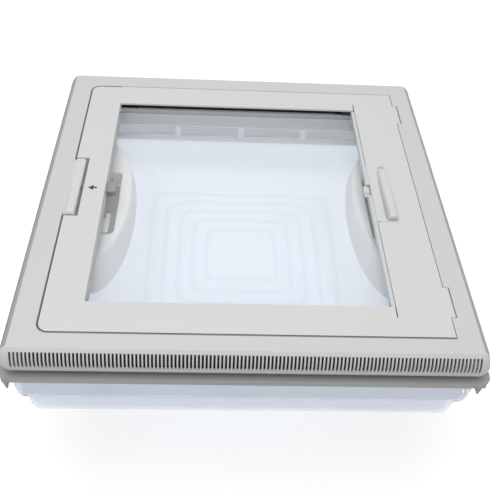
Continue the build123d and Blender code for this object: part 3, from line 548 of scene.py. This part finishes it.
def blindRoll():
    # a spiral whose radius grows evenly with the angle, from the tube to the outer turn, carried along Y
    low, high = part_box("blind_roll")
    turn = np.linspace(0, blind["turns"] * 2 * math.pi, blind["turns"] * blind["steps"])
    radius = np.linspace(blind["coreRadius"], blind["outerRadius"], len(turn))
    x = (blind["axisX"] + radius * np.sin(turn)) * mm
    z = level(blind["axisDepth"]) + radius * np.cos(turn) * mm
    rows = np.array([np.column_stack([x, np.full(len(x), y), z]) for y in (low.y, high.y)])
    faces = gridFaces(2, len(x))
    piece = newPiece("blindRoll", (rows.reshape(-1, 3), faces.tolist()), "blindCloth", "roller")
    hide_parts("blind_roll")


def blindCloth():
    # a flat grid from the roll to the bar
    low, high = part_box("blind_fabric")
    countX, countY = blind["clothPoints"]
    x, y = np.linspace(high.x, low.x, countX), np.linspace(low.y, high.y, countY)
    gridX, gridY = np.meshgrid(x, y, indexing="ij")
    points = np.stack([gridX, gridY, np.full_like(gridX, high.z)], -1).reshape(-1, 3)
    faces = gridFaces(len(x), len(y))[:, ::-1].tolist()
    piece = newPiece("blindCloth", (points, faces), "blindCloth", None)
    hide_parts("blind_fabric")
    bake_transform(piece)


blindRoll()
blindCloth()
print("blind made")


# small shapes shared by the pieces below

def mirrored(shape):
    # the same shape on the other side of the YZ plane
    points, faces = shape
    return outwards(points * np.array([-1.0, 1.0, 1.0]), faces)


studShape = {"sides": 24, "chamfer": 0.2}


def disc(x, y, depth, radius, height):
    # a low round stud: circles at foot and top, the top one drawn in by a share of the height
    turn = np.linspace(0, 2 * math.pi, studShape["sides"], endpoint=False)
    plan = np.column_stack([np.cos(turn), np.sin(turn)])
    cut = studShape["chamfer"] * height
    rows = [(radius, 0.0), (radius, height - cut), (radius - cut, height)]
    return lofted([atLevel(plan * r * mm + np.array([x * mm, y * mm]), up * mm + level(depth)) for r, up in rows])


plateEdge = {"most": 0.06, "share": 1 / 3, "corner": 0.1}


def plate(x, y, depth):
    # a thin plain plate between two depths
    edge = min(plateEdge["most"], (depth[1] - depth[0]) * plateEdge["share"])
    return roundedBox(x, y, depth, edge, plateEdge["corner"], 2)


barShape = {"rows": 46, "columns": 22, "crowding": 1.6, "nosePower": 2.4, "noseWaist": 0.55, "tailWaist": 0.8,
            "tailPower": 0.5, "least": 0.02, "flankStart": 0.3}


def raisedBar(bar):
    # bar along Y: height rises straight from back to front and rounds off at the nose as a superellipse;
    # each section is the upper half of a superellipse over a flat foot, and narrows at nose and tail
    b = barShape
    front, back = bar["y"]
    t = np.linspace(0, 1, b["rows"]) ** b["crowding"]
    y = front + t * (back - front)
    run = np.clip((y - front) / bar["nose"], 0, 1)
    nose = (1 - (1 - run) ** b["nosePower"]) ** (1 / b["nosePower"])
    slope = bar["low"] + (bar["high"] - bar["low"]) * (back - y) / (back - front)
    tail = np.clip((back - y) / bar["tail"], 0, 1) ** b["tailPower"]
    height = np.maximum((bar["foot"] + slope) * nose, b["least"])
    half = (bar["x"][1] - bar["x"][0]) / 2
    half = half * (b["noseWaist"] + (1 - b["noseWaist"]) * nose) * (b["tailWaist"] + (1 - b["tailWaist"]) * tail)
    angle = np.linspace(0, math.pi, b["columns"])
    power = 2 / bar["power"]
    across = np.sign(np.cos(angle)) * np.abs(np.cos(angle)) ** power
    lift = np.sin(angle) ** power
    if "slant" in bar:
        # the left flank leans out and falls by a smooth step
        fall = np.clip((angle - math.pi / 2) / (math.pi / 2), 0, 1)
        across = np.where(fall > 0, -fall * (half.max() + bar["slant"]) / half.max(), across)
        drop = smoothStep((fall - b["flankStart"]) / (1 - b["flankStart"]))
        lift = np.where(fall > 0, 1 - drop, lift)
    middle = (bar["x"][0] + bar["x"][1]) / 2
    x = middle + half[:, None] * across[None, :]
    z = height[:, None] * lift[None, :] - bar["foot"]
    grid = np.stack([x * mm, np.broadcast_to(y[:, None] * mm, x.shape), faceLevel + z * mm], -1)
    return lofted(grid)


# side grips: a half oval with soft shoulders and a deep finger recess

grip = {"flat": 184.0, "flatEdge": 0.5, "middle": 25.0, "reach": 42.0, "half": 131.0, "topReach": 39.5,
        "topHalf": 107.0, "foot": 78.0, "top": 37.2, "shoulder": 8.0, "columns": 260, "ovalPoints": 90,
        "wallRows": 8, "shoulderRows": 9, "topShares": (0.35, 0.7),
        "recessX": (160.2, 180.8), "recessY": (-44.0, 70.0), "recessCorner": 7.0, "recessPoints": (12, 900),
        "rim": 2.2, "rimShare": 0.8, "rimRows": 5, "notchHalf": 11.0, "notchLow": 43.0, "notchEdge": 0.4,
        "recessRows": ((48.0, 0.995), (57.6, 0.99), (58.5, 0.97), (58.8, 0.93))}  # depth, share of the mouth


def halfOval(reach, half, count):
    # half an ellipse whose straight side is closed by a line, evenly spaced
    turn = np.linspace(-math.pi / 2, math.pi / 2, grip["ovalPoints"])
    oval = np.column_stack([grip["flat"] - reach * np.cos(turn), grip["middle"] + half * np.sin(turn)])
    return resampled(oval, count)


def rayOutline(centre, outline, directions):
    # where rays from the centre cross an outline: its distance is read off by angle
    offset = outline - centre
    angle, reach = np.arctan2(offset[:, 1], offset[:, 0]), np.linalg.norm(offset, axis=1)
    order = np.argsort(angle)
    want = np.arctan2(directions[:, 1], directions[:, 0])
    distance = np.interp(want, angle[order], reach[order], period=2 * math.pi)
    return centre + directions / np.linalg.norm(directions, axis=1)[:, None] * distance[:, None]


def sideGrip():
    # rows run from the foot up the leaning side, round the shoulder, over the top and down into the recess
    g = grip
    columns, shoulder = g["columns"], g["shoulder"]
    foot = halfOval(g["reach"], g["half"], columns)
    crown = halfOval(g["topReach"], g["topHalf"], columns)
    height = g["foot"] - g["top"]
    wallShare = 1 - shoulder / height
    rows = [atLevel(foot + (crown - foot) * share, g["foot"] - share * height)
            for share in np.linspace(0, wallShare, g["wallRows"])]
    start = foot + (crown - foot) * wallShare
    recessLow, recessHigh = np.transpose([g["recessX"], g["recessY"]])
    centre = (recessLow + recessHigh) / 2
    onFlat = start[:, 0] > g["flat"] - g["flatEdge"]
    inward = centre - start
    inward[:, 0] = np.where(onFlat, 0.0, inward[:, 0])
    inward /= np.maximum(np.linalg.norm(inward, axis=1), tiny)[:, None]
    for turn in np.linspace(0, math.pi / 2, g["shoulderRows"])[1:]:
        near = start + inward * shoulder * (1 - math.cos(turn))
        near[:, 0] = np.where(onFlat, start[:, 0], near[:, 0])
        rows.append(atLevel(near, g["top"] + shoulder * (1 - math.sin(turn))))
    steps, count = g["recessPoints"]
    recess = resampled(roundedPlan(*((recessHigh - recessLow) / 2), g["recessCorner"], steps) + centre, count)
    top = rows[-1][:, :2]
    mouth = rayOutline(centre, recess, top - centre)
    rows += [atLevel(top + (mouth - top) * share, g["top"]) for share in g["topShares"]]
    outward = (mouth - centre) / np.linalg.norm(mouth - centre, axis=1)[:, None]
    lip = np.minimum(np.linalg.norm(mouth - top, axis=1) * g["rimShare"], g["rim"])[:, None]
    rows += [atLevel(mouth + outward * lip * (1 - math.sin(turn)), g["top"] + g["rim"] * (1 - math.cos(turn)))
             for turn in np.linspace(0, math.pi / 2, g["rimRows"])]
    rows += [atLevel(centre + (mouth - centre) * shrink, depth) for depth, shrink in g["recessRows"]]
    grid = np.array(rows)
    notch = (grid[:, :, 0] > g["recessX"][1] - g["notchEdge"]) & (np.abs(grid[:, :, 1]) < g["notchHalf"])
    grid[:, :, 2] = np.where(notch, np.maximum(grid[:, :, 2], g["notchLow"]), grid[:, :, 2])
    grid = np.concatenate([grid[:, :, :2] * mm, level(0) - grid[:, :, 2:] * mm], -1)
    return lofted(grid)


def makeGrips():
    right = sideGrip()
    for name, shape, node in (("sideGripRight", right, "side_grip_right"),
                              ("sideGripLeft", mirrored(right), "side_grip_left")):
        piece = newPiece(name, shape, "gripPlastic", "dome")
        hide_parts(node)


leverTabBox = ((168.6, 178.8), (-35.0, -1.0), (44.4, 47.4), 0.7, 1.6, 4)  # x, y, depth, edge, corner, steps


def leverTabs():
    # a pale thumb tab on the front half of each finger lever
    right = roundedBox(*leverTabBox)
    for name, shape, body in (("leverTabRight", right, "lever_right"),
                              ("leverTabLeft", mirrored(right), "lever_left")):
        piece = newPiece(name, shape, "gripPlastic", body)


makeGrips()
leverTabs()
print("grips made")


# inner skin of the dome: one soft sheet with the pan, the grips' shelves and the stepped squares

pan = {"rimHalf": 244.5, "rimCorner": 15.0, "half": 190.0, "corner": 26.0, "wallRun": 12.0, "shelfRun": 52.0,
       "shelfReach": 42.0, "shelfHalf": 118.0, "skin": 2.5, "edgeSkin": 0.3, "edgeRun": 16.0, "cells": 190,
       "squareFirst": 46.0, "squarePitch": 19.0, "squareCount": 5, "squareStep": 1.2, "squareRun": 9.0,
       "squareCorner": 16.0, "ridge": 0.9, "ridgeWidth": 3.6}


def insideSquare(x, y, half, corner):
    # distance inwards from the side of a square with round corners, less than nothing outside
    qx, qy = np.abs(x) - (half - corner), np.abs(y) - (half - corner)
    return corner - np.hypot(np.maximum(qx, 0), np.maximum(qy, 0)) - np.minimum(np.maximum(qx, qy), 0)


def domeInner():
    # depth over the plan: rim, smooth fall into the pan outside both shelves, then steps up with soft ridges
    p = pan
    low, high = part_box("dome_inner")
    rimDepth, floorDepth = (faceLevel - high.z) / mm, (faceLevel - low.z) / mm - p["skin"]
    line = np.linspace(-p["rimHalf"], p["rimHalf"], p["cells"])
    x, y = np.meshgrid(line, line, indexing="ij")
    reach = p["rimHalf"] - p["rimCorner"]
    dx, dy = np.abs(x) - reach, np.abs(y) - reach
    far = np.hypot(dx, dy)
    beyond = (dx > 0) & (dy > 0) & (far > p["rimCorner"])
    pull = np.where(beyond, p["rimCorner"] / np.maximum(far, tiny), 1.0)
    x = np.where(beyond, np.sign(x) * (reach + dx * pull), x)
    y = np.where(beyond, np.sign(y) * (reach + dy * pull), y)
    wall = smoothStep(insideSquare(x, y, p["half"], p["corner"]) / p["wallRun"])
    across, along = (p["half"] - np.abs(x)) / p["shelfReach"], (y - grip["middle"]) / p["shelfHalf"]
    shelf = smoothStep((np.hypot(across, along) - 1) * p["shelfReach"] / p["shelfRun"])
    depth = rimDepth + (floorDepth - rimDepth) * wall * shelf
    for i in range(p["squareCount"]):
        inside = insideSquare(x, y, p["squareFirst"] + p["squarePitch"] * i, p["squareCorner"])
        depth -= p["squareStep"] * smoothStep(inside / p["squareRun"])
        depth -= p["ridge"] * np.exp(-(inside / p["ridgeWidth"]) ** 2) * wall * shelf
    upper = np.stack([x * mm, y * mm, faceLevel - depth * mm], -1).reshape(-1, 3)
    thick = p["edgeSkin"] + (p["skin"] - p["edgeSkin"]) * smoothStep(
        insideSquare(x, y, p["rimHalf"], p["rimCorner"]) / p["edgeRun"])
    lower = upper.copy()
    lower[:, 2] -= thick.reshape(-1) * mm
    count = p["cells"]
    top = gridFaces(count, count)
    under = top[:, ::-1] + count * count
    index = np.arange(count * count).reshape(count, count)
    edge = np.concatenate([index[:-1, 0], index[-1, :-1], index[:0:-1, -1], index[0, :0:-1]])
    sides = np.stack([edge, np.roll(edge, -1), np.roll(edge, -1) + count * count, edge + count * count], -1)
    shape = outwards(np.concatenate([upper, lower]), top.tolist() + under.tolist() + sides[:, ::-1].tolist())
    piece = newPiece("domeInner", shape, "innerAcrylic", "dome")
    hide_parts("dome_inner")


# outer skin of the dome: profile of (half size, depth) carried round, with a plan corner at each point
shell = {"points": ((90.0, 130.0), (238.0, 130.0), (240.5, 96.0), (246.8, 86.0), (247.5, 50.0),
                    (244.5, 50.0), (243.9, 85.0), (237.6, 95.0), (235.2, 127.0), (90.0, 127.0)),
         "radii": (0, 9.0, 7.0, 9.0, 0.6, 0.6, 7.0, 9.0, 6.5, 0), "steps": 9, "corner": 18.0, "low": 14.0,
         "from": 60.0, "to": 88.0, "short": 4.0, "planSteps": 14}


def domeOuter():
    # each point of the profile becomes a rounded plan; its corner and Y half change by a smooth step of depth
    profile = roundedLine(shell["points"], shell["radii"], shell["steps"])
    rows = []
    for half, depth in profile:
        grown = smoothStep((depth - shell["from"]) / (shell["to"] - shell["from"]))
        corner = shell["corner"] + (shell["low"] - shell["corner"]) * grown
        plan = roundedPlan(half, half - shell["short"] * grown, corner, shell["planSteps"])
        rows.append(atLevel(plan * mm, level(depth)))
    piece = newPiece("domeOuter", lofted(rows), "outerAcrylic", "dome")
    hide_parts("dome_outer")


domeInner()
domeOuter()
print("dome made")


# handle of the blind, latch cap, latch spring and the bar's catch

handle = {"x": (168.5, 184.0), "y": (-49.0, 53.0), "low": 0.2, "high": 7.4, "foot": 0.6, "nose": 9.0, "tail": 30.0,
          "power": 2.3}
handlePlate = {"x": (157.4, 183.9), "lipX": (157.8, 184.6), "webX": (157.4, 160.4), "back": 0.45,
               "lipY": (0.3, 0.9), "depth": (0.05, 2.0), "lipDepth": (-0.05, 0.2), "lap": 0.3,
               "edge": (0.25, 0.4, 3), "lipEdge": (0.04, 0.3, 2), "webEdge": (0.3, 0.3, 2)}
latchCap = {"x": (-214.5, -200.9), "y": (-51.4, 50.0), "low": 1.1, "high": 5.4, "foot": 0.0, "nose": 8.5,
            "tail": 6.0, "power": 3.4, "slant": 0.5}
latchBoxes = (  # x, y, depth, edge, corner and steps of the neck, the core in the pocket and the guided tail
    ((-209.3, -201.6), (-51.4, 50.0), (-0.2, 1.5), 0.1, 0.4, 2),
    ((-214.6, -200.9), (-51.4, 50.0), (1.0, 9.7), 0.3, 1.0, 3),
    ((-229.0, -213.0), (-14.0, 14.0), (5.4, 8.0), 0.3, 0.5, 2))
latchCoverBox = ((-221.6, -214.9), (-52.4, 50.9), (0.02, 0.7), 0.05, 0.2, 2)


def blindHandle():
    # the flush plate with its web, and the raised bar on it
    low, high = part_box("blind_handle")
    h = handlePlate
    front, back = low.y / mm, high.y / mm + h["back"]
    flat = roundedBox(h["x"], (front, back), h["depth"], *h["edge"])
    lip = roundedBox(h["lipX"], (front + h["lipY"][0], back + h["lipY"][1]), h["lipDepth"], *h["lipEdge"])
    web = roundedBox(h["webX"], (front, back), (h["depth"][1] - h["lap"], (faceLevel - low.z) / mm), *h["webEdge"])
    shape = joined([flat, lip, web, raisedBar(handle)])
    piece = newPiece("blindHandle", shape, "handlePlastic", "blind_bar")
    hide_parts("blind_handle")


catchEdge = {"flat": 1.0, "width": 0.0004, "segments": 3, "angle": 28.0}


def barCatch():
    # a merged copy of the node, its flat faces made whole and its sharp edges rounded by a bevel
    mesh = frame["nodes"]["bar_catch"].data.copy()
    bm = bmesh.new()
    bm.from_mesh(mesh)
    bmesh.ops.remove_doubles(bm, verts=bm.verts, dist=tiny)
    bmesh.ops.dissolve_limit(bm, angle_limit=math.radians(catchEdge["flat"]), verts=bm.verts, edges=bm.edges)
    bm.to_mesh(mesh)
    bm.free()
    piece = linked("barCatch", mesh)
    finishSurface(piece, "slidePlastic")
    bevel = piece.modifiers.new("edges", "BEVEL")
    bevel.width, bevel.segments, bevel.limit_method = catchEdge["width"], catchEdge["segments"], "ANGLE"
    bevel.angle_limit = math.radians(catchEdge["angle"])
    bevel.harden_normals = True
    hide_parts("bar_catch")
    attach(piece, bodyOf["bar_catch"])


def latchHandle():
    # the raised cap with its soft flank, and the boxes under it; a thin cover closes the notch beside it
    cover = newPiece("latchCover", roundedBox(*latchCoverBox), "trimPlastic", "frame")
    shape = joined([raisedBar(latchCap), *(roundedBox(*box) for box in latchBoxes)])
    piece = newPiece("latchHandle", shape, "slidePlastic", "latch")
    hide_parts("latch_handle")


spring = {"x": (-237.9, -229.1), "depth": 6.7, "radius": 1.55, "wire": 0.28, "sides": 8, "turns": 6.5,
          "steps": 180, "endTurns": 0.12, "flatShare": 0.06, "travel": 5.0, "spare": 0.1}


def latchSpring():
    # helix along X between the stop and the latch's tail, flatter at its ends
    s = spring
    t = np.linspace(0, 1, s["steps"])
    turn = 2 * math.pi * s["turns"] * t
    ends = smoothStep(np.minimum(t, 1 - t) / s["endTurns"])
    start, end = s["x"][0] + s["wire"], s["x"][1] - s["wire"]
    lean = (2 * (t > 0.5) - 1) * (1 - ends)
    flat = s["flatShare"]
    run = start + (end - start) * (flat + (1 - 2 * flat) * t + flat * lean)
    path = np.column_stack([run, s["radius"] * np.cos(turn), s["radius"] * np.sin(turn)])
    path = path * mm + np.array([0, 0, level(s["depth"])])
    piece = newPiece("latchSpring", tubeAlong(path, s["wire"] * mm, s["sides"]), "steel", "frame")
    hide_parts("latch_spring")
    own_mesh(piece)


blindHandle()
latchHandle()
latchSpring()
barCatch()
print("handles made")


# painted shade: dark sheets behind the grilles' slots and in the guide grooves, a grey sheet beside the grooves and
# a dark band along the hinged frame's edge; then the printed marks

slotShadeSheet = {"centreX": 229.0, "centreDepth": 17.9, "radius": 17.4, "thick": 0.5, "depths": (4.5, 23.0),
          "front": (-217.0, 206.0), "other": (-214.0, 214.0), "columns": 10, "rows": 3}


def grilleShadeSheet(span):
    # a dark sheet of painted shade: an arc behind the inner face of the +X grille, carried along Y
    s = slotShadeSheet
    dz = s["centreDepth"] - np.linspace(*s["depths"], s["columns"])
    turn = np.arcsin(np.clip(dz / s["radius"], -1, 1))
    rows = []
    for y in np.linspace(*span, s["rows"]):
        loop = []
        for radius, order in ((s["radius"], 1), (s["radius"] - s["thick"], -1)):
            arc = np.column_stack([s["centreX"] + radius * np.cos(turn), np.full(len(turn), y),
                                   radius * np.sin(turn) - s["centreDepth"]])
            loop.append(arc[::order])
        rows.append(np.concatenate(loop))
    return lofted(np.array(rows) * mm + np.array([0, 0, faceLevel]))


def turnedPoints(shape, quarter):
    # the shape turned about Z by quarters of a turn
    points, faces = shape
    c, s = math.cos(quarter * math.pi / 2), math.sin(quarter * math.pi / 2)
    turn = np.array([[c, -s, 0], [s, c, 0], [0, 0, 1]])
    return points @ turn.T, faces


def makeShadeSheets():
    # dark sheets of painted shade behind the slots of all four grilles
    spans = (("Right", "other"), ("Back", "other"), ("Left", "other"), ("Front", "front"))
    for quarter, (name, span) in enumerate(spans):
        shape = turnedPoints(grilleShadeSheet(slotShadeSheet[span]), quarter)
        piece = newPiece("grilleShadeSheet" + name, shape, "darkShadeSheet", "frame")


groove = {"top": 2.6, "low": 10.2, "reach": 8.0, "x": (-171.0, 157.0), "dark": 5.0, "bare": 3.8, "end": 24.0,
          "thick": 0.15, "wallLow": 15.8, "inset": 5.0}


def grooveShade():
    # painted shade in both guide grooves: a dark sheet at the back, wider at both ends, and a grey sheet in front
    # of it
    g = groove
    low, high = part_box("insect_net")
    middle, half = (low.y + high.y) / 2 / mm, (high.y - low.y) / 2 / mm - g["inset"]
    dark, grey = [], []
    left, right = g["x"]
    ends = ((left, left + g["end"]), (right - g["end"], right))
    onFloor = (g["low"] - g["thick"], g["low"])
    for sign in (1, -1):
        def across(a, b):
            return tuple(sorted((middle + sign * (half + a), middle + sign * (half + b))))
        dark.append(plate(g["x"], across(g["dark"], g["reach"]), onFloor))
        dark.append(plate(g["x"], across(g["reach"] - g["thick"], g["reach"]),
                          (g["top"], g["low"] - g["thick"])))
        dark += [plate(x, across(g["bare"], g["dark"]), onFloor) for x in ends]
        grey.append(plate(g["x"], across(0.0, g["bare"]), onFloor))
        grey.append(plate(g["x"], across(-g["thick"], 0.0), (g["low"], g["wallLow"])))
    for name, parts, finish in (("grooveShade", dark, "darkShadeSheet"), ("railShadeSheet", grey, "railGrey")):
        piece = newPiece(name, joined(parts), finish, "screen")


marks = {"latchDot": (-199.9, -4.6, 0.0, 1.1, 0.5), "handleDot": (159.8, -50.4, 0.05, 0.8, 0.3),  # for disc
         "arrowX": (-191.9, -181.1), "arrowY": -3.0, "headHalf": 4.6, "headLength": 6.6, "shaftHalf": 1.2,
         "thick": 0.12}
edgeShadeBand = {"left": -214.55, "right": 213.6, "front": -220.7, "back": 214.7, "corner": 11.9, "wide": 1.1,
            "thick": 0.05, "latchY": (-51.6, 50.2), "stub": 30.0, "steps": 14}


def frameEdgeShade():
    # painted shade along the edge of the hinged frame beside its gap: a thin dark band inside the outline, broken
    # at the latch
    e = edgeShadeBand
    parts = []
    for sign, y, start in ((-1, e["front"], e["latchY"][0]), (1, e["back"], e["latchY"][1])):
        reach = e["right"] if sign < 0 else e["left"] + e["corner"] + e["stub"]
        x, near = e["left"] + e["wide"], y - sign * e["wide"]
        outer, inner = (roundedLine(line, (0, corner, 0), e["steps"]) for line, corner in (
            ([(e["left"], start), (e["left"], y), (reach, y)], e["corner"]),
            ([(x, start), (x, near), (reach, near)], e["corner"] - e["wide"])))
        rows = [np.array([(*a, 0.0), (*b, 0.0), (*b, e["thick"]), (*a, e["thick"])]) for a, b in zip(outer, inner)]
        parts.append(lofted(np.array(rows) * mm + np.array([0, 0, faceLevel])))
    piece = newPiece("frameEdgeShade", joined(parts), "darkFinishAndShade", "screen")


def makeMarks():
    # a plain printed arrow beside the latch, and two small dark studs
    m = marks
    tip, tail, y = m["arrowX"][0], m["arrowX"][1], m["arrowY"]
    neck = tip + m["headLength"]
    side = [(tip, 0), (neck, -m["headHalf"]), (neck, -m["shaftHalf"]), (tail, -m["shaftHalf"])]
    outline = np.array([(a, y + b) for a, b in [*side, *((a, -b) for a, b in side[:0:-1])]])
    arrow = lofted([atLevel(outline * mm, faceLevel + up * mm) for up in (0, m["thick"])])
    for name, dot, body, parts in (("latchMarks", "latchDot", "screen", [arrow]),
                                   ("handleStud", "handleDot", "blind_bar", [])):
        piece = newPiece(name, joined([*parts, disc(*m[dot])]), "darkFinishAndShade", body)


makeShadeSheets()
grooveShade()
frameEdgeShade()
makeMarks()
print("linings and marks made")


# camera, light and floor

camera = {"place": (-0.04056, -0.64018, 0.70012), "up": (-0.0225, 0.72287, 0.69062),
          "forward": (0.04862, 0.69076, -0.72144), "lens": 50.947, "sensor": 36.0}
light = {"world": 0.64, "keySize": 1.3, "keyPower": 16.0, "keyPlace": (-0.15, -0.15, 1.8), "frontSize": 1.2,
         "frontPower": 2.0, "frontPlace": (-0.4, -1.8, 0.7)}
floorLook = {"size": 6.0, "colour": (0.62, 0.62, 0.62), "roughness": 0.9, "gloss": 0.1, "glow": 0.52,
             "glowThrough": 0.80, "low": -0.15}  # low enough to clear the dome at its widest opening
white = (1, 1, 1, 1)


def turnTo(thing, place, right, up, back):
    # the object's three axes and its place as one matrix
    matrix = np.eye(4)
    matrix[:3] = np.column_stack([right, up, back, place])
    thing.matrix_world = Matrix(matrix.tolist())


def makeCamera():
    # the three directions are made square to each other before use
    forward = np.array(camera["forward"]) / np.linalg.norm(camera["forward"])
    right = np.cross(forward, camera["up"])
    right /= np.linalg.norm(right)
    data = bpy.data.cameras.new("camera")
    data.lens, data.sensor_width = camera["lens"], camera["sensor"]
    eye = linked("camera", data)
    turnTo(eye, camera["place"], right, np.cross(right, forward), -forward)
    bpy.context.scene.camera = eye


def aimedLamp(name, place, size, power):
    # a square area lamp that looks at the middle of the part
    data = bpy.data.lights.new(name, "AREA")
    data.shape, data.size, data.energy = "SQUARE", size, power
    back = np.array(place) - np.array([0, 0, faceLevel / 2])
    back /= np.linalg.norm(back)
    right = np.cross([0, 0, 1.0], back)
    right /= np.linalg.norm(right)
    turnTo(linked(name, data), place, right, np.cross(back, right), back)


def seenWhite(owner, direct=1.0, through=1.0):
    # a strength for the rays that show the background itself: in the picture, in gloss and through glass
    path = addNode(owner, "LightPath", {})
    seen, gloss, glass = (calculated(owner, "MULTIPLY", path.outputs["Is " + ray + " Ray"], share) for ray, share in
                          (("Camera", direct), ("Glossy", direct), ("Transmission", through)))
    return calculated(owner, "MAXIMUM", calculated(owner, "MAXIMUM", seen, gloss), glass)


def makeWorld():
    # even light, and plain white where the background itself is seen
    world = bpy.data.worlds.new("studio")
    bpy.context.scene.world = world
    world.use_nodes = True
    strength = addNode(world, "MapRange", {"To Min": light["world"], "To Max": 1.0, "Value": seenWhite(world)})
    fillInputs(world, world.node_tree.nodes["Background"],
               {"Color": white, "Strength": strength.outputs["Result"]})


def makeFloor():
    # a pale floor that glows a little towards the camera, so it is white and keeps the shadow
    look, material = floorLook, bpy.data.materials.new("floorPaint")
    material.use_nodes = True
    fillInputs(material, material.node_tree.nodes["Principled BSDF"], {
        "Base Color": (*look["colour"], 1), "Roughness": look["roughness"],
        "Specular IOR Level": look["gloss"], "Emission Color": white,
        "Emission Strength": seenWhite(material, look["glow"], look["glowThrough"])})
    half, low = look["size"] / 2, look["low"]
    mesh = bpy.data.meshes.new("floor")
    mesh.from_pydata([(-half, -half, low), (half, -half, low), (half, half, low), (-half, half, low)], [],
                     [(0, 1, 2, 3)])
    mesh.materials.append(material)
    ground = linked("floor", mesh)


makeCamera()
aimedLamp("key", light["keyPlace"], light["keySize"], light["keyPower"])
aimedLamp("front", light["frontPlace"], light["frontSize"], light["frontPower"])
makeWorld()
makeFloor()
bpy.context.scene.view_settings.view_transform = "Standard"
print("camera, light and floor made")
